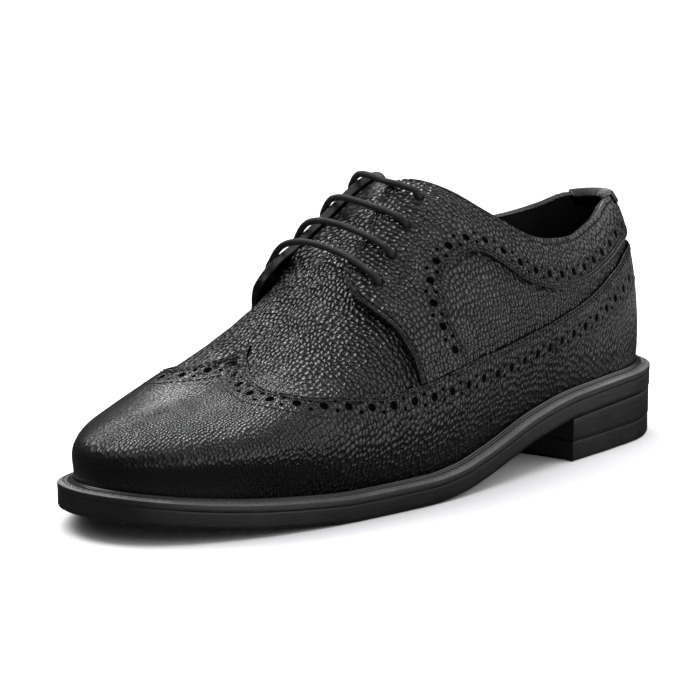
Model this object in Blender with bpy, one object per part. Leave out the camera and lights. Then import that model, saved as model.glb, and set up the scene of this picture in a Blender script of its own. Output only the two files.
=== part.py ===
"""A left brogue shoe: a derby with a long wing, four eyelet pairs, a storm welt and a stacked heel.

Units are metres, +Z is up, the toe points to -Y and the wearer's left is +X.
The origin is on the floor, below the centre of the sole's outline.

Shapes are worked out on the last. A place on it has a side, +1 for the outer side and -1 for the
inner side, a station, 0 at the heel and 1 at the toe, and a girth, 0 at the welt and 1 on the ridge.
"""
from math import pi

import bmesh
import bpy
import numpy as np

# Driving sizes of the sole
LENGTH = 0.300
BALL_WIDTH = 0.104
HEEL_LIFT = 0.0194
TOE_SPRING = 0.0086
OUTSOLE_THICKNESS = 0.0065
WELT_THICKNESS = 0.0032
WELT_WIDTH = 0.0062
WELT_LEDGE = 0.0140
BEAD_HEIGHT = 0.0018
BEAD_WIDTH = 0.0030
BEAD_LEAN = 0.85
TOP_LIFT_THICKNESS = 0.0080
BREAST_OUTER = 0.0810
BREAST_INNER = 0.0890
BREAST_HOLLOW = 0.0040
HEEL_TAPER = 0.0010
NOTCH_WIDTH = 0.0014
NOTCH_DEPTH = 0.0012
INSOLE_THICKNESS = 0.0025
INSOLE_MARGIN = 0.0030

# Driving sizes of the upper
INSTEP_HEIGHT = 0.1125
WALL = 0.0020
OVERLAY = 0.0012
GAP = 0.0003
FACING_GAP = 0.0007
FLARE_OUTER = 0.0012
FLARE_INNER = 0.0045
FRONT_LIFT = 0.0018
BACK_SEAM = 0.0012
HEEL_EASE = 0.0004
TONGUE_THICKNESS = 0.0020
TONGUE_DEPTH = 0.0040
TONGUE_RISE = 0.0015
VAMP_ROOM = 0.0012
TAB_WIDTH = 0.0240
TAB_THICKNESS = 0.0012
TAB_DROP = 0.0050
TAB_SPREAD = 1.35
TAB_SECTIONS = 9
EYELET_HOLE = 0.0042
LACE_DIAMETER = 0.0025
BAR_LIFT = 0.0006
TAIL_SHIFT = 0.040
HEEL_FOCUS = 0.0490
TOE_FOCUS = 0.2615
INNER_FULLNESS = 0.35
SEAM_BLEND = 0.09

# Resolution
SIDE_COLUMNS = 38
END_DENSITY = 1.4
WING_ROWS = 5
QUARTER_ROWS = 5
STRIP_COLUMNS = 30
STRIP_CROWDING = 1.3
STRIP_ROWS = 4
ROW_CROWDING = 1.4
COLUMN_BEND = 4.0
RIM_POINTS = 64
MERGE = 2e-5
SOLE_STATIONS = 34
TOP_SPLIT = (0.58, 0.53)

# Sole outline: share of LENGTH from the heel, share of BALL_WIDTH towards the outer side
OUTLINE = (
    (0.000, 0.000),
    (0.020, 0.168),
    (0.080, 0.293),
    (0.167, 0.351),
    (0.283, 0.399),
    (0.417, 0.457),
    (0.550, 0.500),
    (0.667, 0.495),
    (0.767, 0.469),
    (0.863, 0.402),
    (0.943, 0.284),
    (0.985, 0.154),
    (1.000, 0.000),
    (0.984, -0.163),
    (0.937, -0.312),
    (0.867, -0.428),
    (0.783, -0.490),
    (0.700, -0.498),
    (0.600, -0.447),
    (0.483, -0.361),
    (0.367, -0.308),
    (0.250, -0.312),
    (0.167, -0.322),
    (0.080, -0.293),
    (0.020, -0.168),
)

# Sole bottom: share of LENGTH, share of HEEL_LIFT, share of TOE_SPRING
SOLE_LINE = (
    (0.000, 1.000, 0.00),
    (0.133, 0.970, 0.00),
    (0.253, 0.895, 0.00),
    (0.350, 0.700, 0.00),
    (0.467, 0.250, 0.00),
    (0.527, 0.067, 0.00),
    (0.583, 0.000, 0.00),
    (0.700, 0.000, 0.00),
    (0.783, 0.000, 0.16),
    (0.883, 0.000, 0.46),
    (1.000, 0.000, 1.00),
)

# Sections round the last: share of the way from heel to toe along the welt, how round the top is,
# how far the side bulges past the welt line as a share of the half width, how slowly the side rises
SECTIONS = (
    (0.00, 0.32, 0.08, 1.15),
    (0.03, 0.36, 0.06, 1.14),
    (0.06, 0.50, 0.04, 1.13),
    (0.10, 0.70, 0.03, 1.12),
    (0.20, 0.80, 0.10, 1.05),
    (0.34, 0.78, 0.18, 1.03),
    (0.50, 0.76, 0.22, 1.02),
    (0.63, 0.98, 0.25, 1.00),
    (0.76, 1.14, 0.27, 0.70),
    (0.88, 1.08, 0.18, 0.53),
    (1.00, 1.00, 0.05, 0.53),
)

# Ridge: share of LENGTH, share of INSTEP_HEIGHT, share of BALL_WIDTH towards the outer side
RIDGE = (
    (0.133, 0.929, 0.000),
    (0.300, 0.978, -0.029),
    (0.457, 1.000, -0.058),
    (0.550, 0.853, -0.058),
    (0.633, 0.671, -0.048),
    (0.717, 0.511, -0.034),
    (0.800, 0.391, -0.014),
    (0.873, 0.351, 0.000),
)

# Collar and throat edge: station, girth on the outer side, girth on the inner side
TOP_LINE = (
    (0.000, 0.735, 0.735),
    (0.030, 0.700, 0.700),
    (0.062, 0.638, 0.645),
    (0.130, 0.562, 0.580),
    (0.200, 0.519, 0.550),
    (0.247, 0.519, 0.548),
    (0.291, 0.537, 0.565),
    (0.323, 0.580, 0.600),
    (0.345, 0.635, 0.650),
    (0.368, 0.710, 0.715),
    (0.390, 0.830, 0.800),
    (0.412, 0.925, 0.875),
    (0.440, 0.962, 0.900),
    (0.474, 0.950, 0.885),
    (0.520, 0.919, 0.845),
    (0.569, 0.868, 0.800),
    (0.606, 0.828, 0.765),
)
THROAT_END = 0.640

# Front edge of the facing, below the throat edge: station, outer girth, inner girth
FRONT_EDGE = (
    (0.622, 0.781, 0.725),
    (0.630, 0.706, 0.660),
    (0.625, 0.619, 0.590),
    (0.616, 0.525, 0.510),
    (0.613, 0.438, 0.430),
    (0.609, 0.345, 0.345),
)

# Lower edge of the punched band and of the facing's arch: station, girth on both sides
BAND_EDGE = (
    (0.000, 0.520),
    (0.038, 0.475),
    (0.085, 0.425),
    (0.141, 0.377),
    (0.208, 0.342),
    (0.273, 0.340),
    (0.326, 0.369),
    (0.360, 0.406),
    (0.402, 0.488),
    (0.427, 0.537),
    (0.448, 0.562),
    (0.470, 0.575),
    (0.492, 0.575),
    (0.515, 0.556),
    (0.527, 0.513),
    (0.532, 0.463),
    (0.529, 0.400),
    (0.518, 0.322),
)

# Wing: station on the welt, station and girth of the wing's top edge, station of the ridge above it
WING = (
    (0.000, 0.000, 0.475, 0.000),
    (0.035, 0.035, 0.440, 0.035),
    (0.070, 0.070, 0.397, 0.070),
    (0.110, 0.110, 0.360, 0.110),
    (0.160, 0.160, 0.316, 0.160),
    (0.245, 0.245, 0.268, 0.245),
    (0.344, 0.344, 0.248, 0.344),
    (0.430, 0.430, 0.254, 0.430),
    (0.515, 0.515, 0.292, 0.515),
    (0.606, 0.606, 0.318, 0.606),
    (0.645, 0.645, 0.344, 0.640),
    (0.690, 0.690, 0.380, 0.664),
    (0.730, 0.730, 0.425, 0.685),
    (0.765, 0.765, 0.467, 0.703),
    (0.800, 0.790, 0.530, 0.720),
    (0.840, 0.815, 0.655, 0.735),
    (0.870, 0.818, 0.770, 0.747),
    (0.900, 0.808, 0.880, 0.757),
    (0.925, 0.795, 0.960, 0.766),
    (0.945, 0.775, 1.000, 0.775),
    (0.965, 0.850, 1.000, 0.850),
    (0.985, 0.930, 1.000, 0.930),
    (1.000, 1.000, 1.000, 1.000),
)
PEAK_ROW = 19

# Eyelets, top pair first: station, outer girth, inner girth
EYELETS = (
    (0.453, 0.825, 0.765),
    (0.504, 0.788, 0.720),
    (0.553, 0.744, 0.675),
    (0.595, 0.694, 0.635),
)

# Tongue: station, outer girth, inner girth
TONGUE = (
    (0.400, 0.800, 0.760),
    (0.440, 0.740, 0.700),
    (0.520, 0.690, 0.650),
    (0.600, 0.640, 0.600),
    (0.680, 0.660, 0.620),
    (0.720, 0.780, 0.740),
)

# Where the hidden end of the lace runs, in eyelets counted from the top pair
LACE_TAIL = (2.6, 1.8, 0.9, 0.1)

COLOURS = {
    "leather": (0.020, 0.020, 0.022),
    "edge": (0.025, 0.024, 0.024),
    "rubber": (0.030, 0.030, 0.031),
    "lining": (0.030, 0.030, 0.032),
    "lace": (0.045, 0.045, 0.048),
}
ROUGHNESS = {"leather": 0.38, "edge": 0.45, "rubber": 0.60, "lining": 0.70, "lace": 0.65}


def smooth(value):
    """An S-shaped step from 0 to 1."""
    t = np.clip(value, 0.0, 1.0)
    return t * t * (3.0 - 2.0 * t)


def through(rows, at, column=1, flowing=False):
    """A curve through one column of a table; flowing rounds it, or else it never overshoots."""
    xs = np.array([row[0] for row in rows], float)
    ys = np.array([row[column] for row in rows], float)
    return hermite(xs, ys, at, flowing)


def hermite(xs, ys, at, flowing):
    step = np.diff(xs)
    slope = np.diff(ys) / step
    tangent = np.zeros_like(ys)
    tangent[0] = slope[0]
    tangent[-1] = slope[-1]
    before, after = slope[:-1], slope[1:]
    if flowing:
        tangent[1:-1] = (step[1:] * before + step[:-1] * after) / (step[1:] + step[:-1])
    else:
        rising = before * after > 0.0
        safe_before = np.where(rising, before, 1.0)
        safe_after = np.where(rising, after, 1.0)
        near, far = 2.0 * step[1:] + step[:-1], step[1:] + 2.0 * step[:-1]
        mean = (near + far) / (near / safe_before + far / safe_after)
        tangent[1:-1] = np.where(rising, mean, 0.0)
    at = np.asarray(at, float)
    i = np.clip(np.searchsorted(xs, at, side="right") - 1, 0, len(xs) - 2)
    t = np.clip((at - xs[i]) / step[i], 0.0, 1.0)
    start = (1.0 + 2.0 * t) * (1.0 - t) ** 2 * ys[i] + t * (1.0 - t) ** 2 * step[i] * tangent[i]
    end = t * t * (3.0 - 2.0 * t) * ys[i + 1] + t * t * (t - 1.0) * step[i] * tangent[i + 1]
    return start + end


def outline_curve(count=1400):
    """The sole's outline as an even closed run of points (towards the outer side, from the heel)."""
    points = np.array([(side * BALL_WIDTH, along * LENGTH) for along, side in OUTLINE])
    wrapped = np.vstack([points[-3:], points, points[:4]])
    chord = np.sqrt(np.hypot(*np.diff(wrapped, axis=0).T))
    knots = np.concatenate([[0.0], np.cumsum(chord)])
    at = np.linspace(knots[3], knots[3 + len(points)], 4 * count, endpoint=False)
    x = hermite(knots, wrapped[:, 0], at, True)
    y = hermite(knots, wrapped[:, 1], at, True)
    curve = np.stack([x, y], axis=-1)
    closed = np.vstack([curve, curve[:1]])
    run = np.concatenate([[0.0], np.cumsum(np.hypot(*np.diff(closed, axis=0).T))])
    even = np.linspace(0.0, run[-1], count, endpoint=False)
    return np.stack([np.interp(even, run, closed[:, 0]), np.interp(even, run, closed[:, 1])], axis=-1)


def inset(curve, distance):
    """A closed curve moved inwards."""
    tangent = np.roll(curve, -1, axis=0) - np.roll(curve, 1, axis=0)
    tangent /= np.linalg.norm(tangent, axis=1)[:, None]
    outward = np.stack([tangent[:, 1], -tangent[:, 0]], axis=-1)
    return curve - outward * distance


EDGE = outline_curve()
FEATHER = inset(EDGE, WELT_WIDTH)
CENTRE_X = 0.5 * (EDGE[:, 0].max() + EDGE[:, 0].min())
CENTRE_Y = 0.5 * (EDGE[:, 1].max() + EDGE[:, 1].min())
HEEL_END = FEATHER[:, 1].min()
TOE_END = FEATHER[:, 1].max()


def half_curve(curve, side):
    """One side of a closed outline from heel to toe."""
    heel = int(np.argmin(curve[:, 1]))
    turned = np.roll(curve, -heel, axis=0)
    toe = int(np.argmax(turned[:, 1]))
    if side > 0:
        half = turned[:toe + 1]
    else:
        half = np.vstack([turned[:1], turned[:toe - 1:-1]])
    run = np.concatenate([[0.0], np.cumsum(np.hypot(*np.diff(half, axis=0).T))])
    return half, run / run[-1]


def half_tables(curve):
    """For each side: how far from the heel, how far out and what share of the way round."""
    tables = {}
    for side in (1, -1):
        half, share = half_curve(curve, side)
        order = np.argsort(half[:, 1], kind="stable")
        tables[side] = (half[order, 1], half[order, 0], share[order])
    return tables


FEATHER_HALVES = half_tables(FEATHER)
HALF_ROUND = float(np.sum(np.hypot(*np.diff(half_curve(FEATHER, 1)[0], axis=0).T)))


def sole_bottom(y):
    share = np.asarray(y, float) / LENGTH
    return HEEL_LIFT * through(SOLE_LINE, share, 1) + TOE_SPRING * through(SOLE_LINE, share, 2)


def outsole_top(y):
    return sole_bottom(y) + OUTSOLE_THICKNESS


def welt_top(y):
    return outsole_top(y) + GAP + WELT_THICKNESS


def station_of(share, side=1):
    """The station at a share of the way round from heel to toe along the welt."""
    along, _, shares = FEATHER_HALVES[side]
    order = np.argsort(shares, kind="stable")
    y = np.interp(share, shares[order], along[order])
    return (y - HEEL_END) / (TOE_END - HEEL_END)


def fullness(side, share):
    """How much of the bulge a side has; both sides have all of it at the heel and toe seams."""
    if side > 0:
        return np.ones_like(share)
    ends = smooth(share / SEAM_BLEND) * smooth((1.0 - share) / SEAM_BLEND)
    return 1.0 - (1.0 - INNER_FULLNESS) * ends


def last_point(side, station, girth):
    """A point of the last's surface, as (towards the outer side, from the heel, up)."""
    station = np.asarray(station, float)
    girth = np.asarray(girth, float)
    y = HEEL_END + (TOE_END - HEEL_END) * station
    along, out, shares = FEATHER_HALVES[side]
    x = np.interp(y, along, out)
    share = np.interp(y, along, shares)
    roundness = through(SECTIONS, share, 1)
    bulge = through(SECTIONS, share, 2) * fullness(side, share)
    rise = through(SECTIONS, share, 3)
    ridge_y = HEEL_FOCUS + (TOE_FOCUS - HEEL_FOCUS) * station
    ridge_z = INSTEP_HEIGHT * through(RIDGE, ridge_y / LENGTH, 1)
    ridge_x = BALL_WIDTH * through(RIDGE, ridge_y / LENGTH, 2)
    roundness = roundness - np.maximum(roundness - 1.0, 0.0) * smooth((girth - 0.6) / 0.35)
    angle = girth * pi / 2.0
    swell = 6.75 * girth * (1.0 - girth) ** 2
    reach = np.clip(np.cos(angle), 1e-12, 1.0) ** roundness + bulge * swell
    low = welt_top(y) + GAP
    z = low + (ridge_z - low) * np.sin(angle) ** rise
    return np.stack([ridge_x + (x - ridge_x) * reach, ridge_y + (y - ridge_y) * reach, z], axis=-1)


def last_normal(side, station, girth):
    """The outward direction of the last's surface."""
    along, _, shares = FEATHER_HALVES[side]
    y = HEEL_END + (TOE_END - HEEL_END) * np.asarray(station, float)
    share = np.interp(y, along, shares)
    step = 0.006
    before = station_of(np.clip(share - step, 0.0, 1.0), side)
    after = station_of(np.clip(share + step, 0.0, 1.0), side)
    safe = np.clip(girth, 0.0, 0.985)
    around = last_point(side, after, safe) - last_point(side, before, safe)
    up = (last_point(side, station, np.clip(safe + 0.012, 0.0, 0.99))
          - last_point(side, station, np.clip(safe - 0.012, 0.0, 1.0)))
    normal = np.cross(around, up) * side
    ridge = (last_point(side, np.clip(station + 0.01, 0.0, 1.0), 1.0 + 0.0 * station)
             - last_point(side, np.clip(station - 0.01, 0.0, 1.0), 1.0 + 0.0 * station))
    for seam, along_seam, outward in (
            (share < 0.001, up, -1.0),
            (share > 0.999, up, 1.0),
            (np.asarray(girth, float) > 0.9995, ridge, -1.0)):
        flat = np.stack([0.0 * share, along_seam[..., 2], -along_seam[..., 1]], axis=-1) * outward
        normal = np.where(seam[..., None], flat, normal)
    return normal / np.linalg.norm(normal, axis=-1)[..., None]


def on_last(side, station, girth, offset=0.0):
    """A point at a distance outside the last's surface."""
    station, girth = np.broadcast_arrays(np.asarray(station, float), np.asarray(girth, float))
    offset = np.broadcast_to(np.asarray(offset, float), station.shape)
    return last_point(side, station, girth) + last_normal(side, station, girth) * offset[..., None]


def throat_flare(side, station, girth):
    """How far the quarters stand off the foot at the throat."""
    size = FLARE_OUTER if side > 0 else FLARE_INNER
    return size * smooth((np.asarray(station) - 0.34) / 0.08) * smooth((np.asarray(girth) - 0.45) / 0.40)


def placed(points):
    """Points of the last put into the model's frame."""
    points = np.asarray(points, float)
    return np.stack([points[..., 0] - CENTRE_X, CENTRE_Y - points[..., 1], points[..., 2]], axis=-1)


def start_scene():
    for item in list(bpy.data.objects):
        bpy.data.objects.remove(item, do_unlink=True)
    parts = bpy.data.collections.new("brogue_shoe")
    cutters = bpy.data.collections.new("cutters")
    bpy.context.scene.collection.children.link(parts)
    bpy.context.scene.collection.children.link(cutters)
    return parts, cutters


PARTS, CUTTERS = start_scene()


def material(kind, name):
    made = bpy.data.materials.new(name)
    made.use_nodes = True
    shader = made.node_tree.nodes["Principled BSDF"]
    shader.inputs["Base Color"].default_value = (*COLOURS[kind], 1.0)
    shader.inputs["Roughness"].default_value = ROUGHNESS[kind]
    shader.inputs["Metallic"].default_value = 0.0
    made.diffuse_color = (*COLOURS[kind], 1.0)
    return made


def add_part(name, mesh_builder, kind):
    """An object of its own with its own material, from a bmesh."""
    mesh = bpy.data.meshes.new(name)
    bmesh.ops.remove_doubles(mesh_builder, verts=mesh_builder.verts[:], dist=MERGE)
    bmesh.ops.dissolve_degenerate(mesh_builder, edges=mesh_builder.edges[:], dist=1e-6)
    bmesh.ops.recalc_face_normals(mesh_builder, faces=mesh_builder.faces[:])
    mesh_builder.to_mesh(mesh)
    mesh_builder.free()
    part = bpy.data.objects.new(name, mesh)
    part.data.materials.append(material(kind, name + "_" + kind))
    mesh.shade_smooth()
    mesh.set_sharp_from_angle(angle=pi / 5.0)
    PARTS.objects.link(part)
    return part


def grid_faces(builder, points):
    """Quads over a grid of points."""
    rows = [[builder.verts.new(point) for point in row] for row in points]
    for first, second in zip(rows, rows[1:]):
        for a, b, c, d in zip(first, first[1:], second[1:], second):
            builder.faces.new((a, b, c, d))
    return rows


def shell(name, sides, thickness, kind):
    """A closed wall between the surface given and one at the thickness below it.

    Each side is a function that gives a grid of points for a depth below the surface.
    """
    builder = bmesh.new()
    place = builder.verts.layers.int.new("place")
    below = []
    for points in sides:
        high, low = placed(points(0.0)), placed(points(thickness))
        if handed(high):
            high, low = high[::-1], low[::-1]
        for row, low_row in zip(grid_faces(builder, high), low):
            for vertex, low_place in zip(row, low_row):
                vertex[place] = len(below)
                below.append(low_place)
    bmesh.ops.remove_doubles(builder, verts=builder.verts[:], dist=MERGE)
    bmesh.ops.triangulate(builder, faces=builder.faces[:], quad_method="FIXED")
    faces = builder.faces[:]
    rim_edges = [edge for edge in builder.edges if len(edge.link_faces) == 1]
    lower = {vertex: builder.verts.new(below[vertex[place]]) for vertex in builder.verts[:]}
    for face in faces:
        builder.faces.new([lower[vertex] for vertex in reversed(face.verts[:])])
    for edge in rim_edges:
        first, second = edge.verts
        builder.faces.new((first, second, lower[second], lower[first]))
    return add_part(name, builder, kind)


def handed(points):
    """Whether a grid of points faces the inside of the shoe."""
    a = points[1:, 1:] - points[:-1, :-1]
    b = points[1:, :-1] - points[:-1, 1:]
    across = np.cross(a, b)
    middle = 0.25 * (points[1:, 1:] + points[:-1, :-1] + points[1:, :-1] + points[:-1, 1:])
    core = middle.copy()
    core[..., 0] = 0.0
    core[..., 1] = np.clip(core[..., 1], -0.30 * LENGTH, 0.32 * LENGTH)
    core[..., 2] = 0.4 * INSTEP_HEIGHT
    return float(np.sum(across * (middle - core))) > 0.0


def plate(name, margin, low, high, kind, ends=(LENGTH, LENGTH), hollow=0.0, taper=0.0, across=4):
    """A plate with the sole's outline, cut off at a line near the given ends, between two heights."""
    tables = half_tables(inset(EDGE, margin))
    heel, toe = tables[1][0][0], tables[1][0][-1]
    share = 0.5 * (1.0 - np.cos(pi * np.linspace(0.0, 1.0, SOLE_STATIONS)))
    cut = ends[0] < LENGTH
    if cut:
        share = 1.0 - np.cos(0.5 * pi * np.linspace(0.0, 1.0, SOLE_STATIONS // 2))
    reach = {1: min(ends[0], toe), -1: min(ends[1], toe)}
    y = {side: heel + (reach[side] - heel) * share for side in (1, -1)}
    x = {side: np.interp(y[side], tables[side][0], tables[side][1]) for side in (1, -1)}
    builder = bmesh.new()
    rows = []
    for step, part_share in enumerate(share):
        weight = np.linspace(0.0, 1.0, across + 1)
        row_x = x[1][step] * (1.0 - weight) + x[-1][step] * weight
        row_y = y[1][step] * (1.0 - weight) + y[-1][step] * weight
        row_y = row_y - hollow * part_share ** 4 * (1.0 - (2.0 * weight - 1.0) ** 2)
        rows.append(np.stack([row_x, row_y, low(row_y)], axis=-1))
    grid_faces(builder, placed(rows))
    bmesh.ops.remove_doubles(builder, verts=builder.verts[:], dist=MERGE)
    raised = bmesh.ops.extrude_face_region(builder, geom=builder.faces[:])
    for item in raised["geom"]:
        if isinstance(item, bmesh.types.BMVert):
            from_heel = CENTRE_Y - item.co.y
            item.co.z = float(high(from_heel))
    if taper:
        bottom = [vertex for vertex in builder.verts if vertex.co.z < low(CENTRE_Y - vertex.co.y) + 1e-6]
        middle = CENTRE_Y - 0.5 * BREAST_OUTER
        for vertex in bottom:
            vertex.co.x -= taper * np.sign(vertex.co.x) * min(1.0, abs(vertex.co.x) / 0.02)
            if vertex.co.y > middle:
                vertex.co.y -= taper * (vertex.co.y - middle) / (0.5 * BREAST_OUTER)
    return add_part(name, builder, kind)


def make_sole():
    plate("outsole", 0.0004, sole_bottom, outsole_top, "edge")
    heel_ends = (BREAST_OUTER, BREAST_INNER)
    lift_top = TOP_LIFT_THICKNESS
    plate("heel_stack", 0.0006, lambda y: lift_top + GAP + 0.0 * y, lambda y: sole_bottom(y) - GAP,
          "edge", heel_ends, BREAST_HOLLOW, across=4)
    lift = plate("top_lift", 0.0006, lambda y: 0.0 * y, lambda y: lift_top + 0.0 * y,
                 "rubber", heel_ends, BREAST_HOLLOW, HEEL_TAPER, across=4)
    for along in (0.35, 0.55):
        cut_notch(lift, along)


def cut_notch(lift, along):
    """A small upright notch in the outer edge of the heel's bottom lift."""
    half, _ = half_curve(inset(EDGE, 0.0006 + HEEL_TAPER), 1)
    y = along * BREAST_OUTER
    x = float(np.interp(y, half[:, 1], half[:, 0]))
    place = placed([(x, y, 0.0)])[0]
    bpy.ops.mesh.primitive_cube_add(size=1.0, location=place)
    cutter = bpy.context.active_object
    cutter.name = f"notch_{int(along * 100)}"
    cutter.scale = (2.0 * NOTCH_DEPTH, NOTCH_WIDTH, TOP_LIFT_THICKNESS)
    use_cutter(lift, cutter)


def use_cutter(part, cutter):
    for home in list(cutter.users_collection):
        home.objects.unlink(cutter)
    CUTTERS.objects.link(cutter)
    cutter.hide_render = True
    cutter.display_type = "WIRE"
    cut = part.modifiers.new(cutter.name, "BOOLEAN")
    cut.operation = "DIFFERENCE"
    cut.solver = "EXACT"
    cut.object = cutter


def rim(distance, count=RIM_POINTS):
    """Even points round the sole, moved inwards."""
    curve = inset(EDGE, distance)
    picked = np.linspace(0, len(curve), count, endpoint=False).astype(int)
    return curve[picked]


def make_welt():
    """A strip round the shoe: lip, stitch channel, bead against the upper and ledge under it."""
    bead_in = WELT_WIDTH - GAP
    bead_out = bead_in - BEAD_WIDTH
    lean = BEAD_LEAN * BEAD_HEIGHT
    profile = (
        (0.0, 0.0),
        (0.0, WELT_THICKNESS),
        (bead_out, WELT_THICKNESS),
        (bead_out, WELT_THICKNESS + 0.6 * BEAD_HEIGHT),
        (0.5 * (bead_out + bead_in - lean), WELT_THICKNESS + BEAD_HEIGHT),
        (bead_in - lean, WELT_THICKNESS + 0.9 * BEAD_HEIGHT),
        (bead_in, WELT_THICKNESS),
        (WELT_LEDGE, WELT_THICKNESS),
        (WELT_LEDGE, 0.0),
    )
    rings = []
    for distance, height in profile + profile[:1]:
        flat = rim(distance)
        level = outsole_top(flat[:, 1]) + GAP + height
        ring = np.column_stack([flat, level])
        rings.append(np.vstack([ring, ring[:1]]))
    builder = bmesh.new()
    grid_faces(builder, placed(rings))
    add_part("welt", builder, "edge")


def make_insole():
    margin = WELT_WIDTH + WALL + INSOLE_MARGIN
    plate("insole", margin, lambda y: welt_top(y) + GAP, lambda y: welt_top(y) + GAP + INSOLE_THICKNESS,
          "lining", across=2)


def wing_columns():
    """The table of the wing, sampled more closely at the heel and toe."""
    index = np.arange(len(WING), dtype=float)
    table = np.array(WING)
    fine = np.linspace(0.0, len(WING) - 1.0, 40 * len(WING))
    bottom = np.interp(fine, index, table[:, 0])
    y = HEEL_END + (TOE_END - HEEL_END) * bottom
    along, _, shares = FEATHER_HALVES[1]
    share = np.interp(y, along, shares)
    density = 1.0 + END_DENSITY * (1.0 - smooth(share / 0.12) + smooth((share - 0.80) / 0.10))
    spent = np.concatenate([[0.0], np.cumsum(0.5 * (density[1:] + density[:-1]) * np.diff(share))])
    even = np.interp(np.linspace(0.0, 1.0, SIDE_COLUMNS + 1), spent / spent[-1], fine)
    peak = int(np.argmin(np.abs(even - PEAK_ROW)))
    even[peak] = PEAK_ROW
    columns = [hermite(index, table[:, column], even, False) for column in range(4)]
    columns[0][-1] = 1.0
    columns[3] = np.where(columns[2] > 0.9995, columns[1], columns[3])
    return np.stack(columns, axis=-1)


COLUMNS = wing_columns()


def wing_places(rows=WING_ROWS):
    """Station and girth over the wing, column by column from the welt up to its edge."""
    share = np.linspace(0.0, 1.0, rows + 1)[None, :]
    share = share ** ROW_CROWDING
    station = COLUMNS[:, 0:1] + (COLUMNS[:, 1:2] - COLUMNS[:, 0:1]) * share ** COLUMN_BEND
    girth = COLUMNS[:, 2:3] * share
    return station, girth


def top_girth(side, station):
    """The girth at which the upper ends: its collar and throat edge, or the ridge on the vamp."""
    column = 1 if side > 0 else 2
    edge = through(TOP_LINE, np.clip(station, 0.0, TOP_LINE[-1][0]), column)
    closing = smooth((station - TOP_LINE[-1][0]) / (THROAT_END - TOP_LINE[-1][0] - 0.004))
    return edge + (1.0 - edge) * closing


def quarter_places(side):
    """Station and girth above the wing's edge, up to the top line or the ridge."""
    share = np.linspace(0.0, 1.0, QUARTER_ROWS + 1)[None, :]
    station = COLUMNS[:, 1:2] + (COLUMNS[:, 3:4] - COLUMNS[:, 1:2]) * share
    top = top_girth(side, COLUMNS[:, 3])[:, None]
    girth = COLUMNS[:, 2:3] + (top - COLUMNS[:, 2:3]) * share
    return station, girth


def wall_flare(side, station, girth):
    """The throat flare as the quarters' wall has it, closing before the vamp."""
    return throat_flare(side, station, girth) * (1.0 - smooth((station - 0.585) / 0.04))


def wall_points(side, station, girth, depth):
    return on_last(side, station, girth, wall_flare(side, station, girth) - depth)


def make_upper():
    """Vamp and quarters: one wall from the welt to the collar, throat and ridge."""
    def points(side, depth):
        station, girth = wing_places()
        lower = wall_points(side, station, girth, OVERLAY + GAP + depth)
        station, girth = quarter_places(side)
        upper = wall_points(side, station, girth, OVERLAY + GAP + depth)
        return np.concatenate([lower, upper[:, 1:]], axis=1)

    return shell("upper", both_sides(points), WALL, "leather")


def both_sides(points):
    """One grid function for each side of the shoe."""
    return [lambda depth, side=side: points(side, depth) for side in (1, -1)]


def make_wing():
    """The long wing, from the welt to its peaked edge, over the vamp and quarters."""
    station, girth = wing_places()
    return shell("wing", both_sides(lambda side, depth: on_last(side, station, girth, -depth)),
                 OVERLAY, "leather")


def resample(rows, count):
    """Rows of a short table as an even run of points."""
    table = np.array(rows, float)
    scale = np.array([LENGTH, 0.45 * LENGTH])
    run = np.concatenate([[0.0], np.cumsum(np.linalg.norm(np.diff(table, axis=0) * scale, axis=1))])
    even = np.linspace(0.0, run[-1], count)
    return np.stack([hermite(run, table[:, 0], even, True), hermite(run, table[:, 1], even, True)], axis=-1)


def facing_curves(side):
    """Outer and inner edge of the facing and its punched band, from the heel seam to the wing."""
    column = 1 if side > 0 else 2
    top = [(row[0], row[column]) for row in TOP_LINE]
    front = [(row[0], row[column]) for row in FRONT_EDGE]
    outer = resample(top + front, 400)
    inner = resample(BAND_EDGE, 400)
    share = np.linspace(0.0, 1.0, STRIP_COLUMNS + 1) ** STRIP_CROWDING
    inner_share = np.interp(share, (0.0, 0.5, 1.0), (0.0, TOP_SPLIT[0], 1.0))
    outer_share = np.interp(share, (0.0, 0.5, 1.0), (0.0, TOP_SPLIT[1], 1.0))
    even = np.linspace(0.0, 1.0, 400)
    edges = []
    for curve, at in ((outer, outer_share), (inner, inner_share)):
        edges.append(np.stack([np.interp(at, even, curve[:, 0]), np.interp(at, even, curve[:, 1])], axis=-1))
    return edges


def facing_offset(side, station, girth):
    front = FRONT_LIFT * smooth((station - 0.565) / 0.05) * smooth((girth - 0.30) / 0.12)
    heel = HEEL_EASE * (1.0 - smooth(station / 0.14))
    return FACING_GAP - GAP + heel + throat_flare(side, station, girth) + front


def make_facing(side, name):
    outer, inner = facing_curves(side)
    share = np.linspace(0.0, 1.0, STRIP_ROWS + 1)[None, :, None]
    places = inner[:, None, :] + (outer[:, None, :] - inner[:, None, :]) * share
    start = float(station_of(BACK_SEAM / HALF_ROUND, side))
    station, girth = np.maximum(places[..., 0], start), places[..., 1]
    offset = facing_offset(side, station, girth)
    return shell(name, [lambda depth: on_last(side, station, girth, offset - depth)], OVERLAY, "leather")


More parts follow.
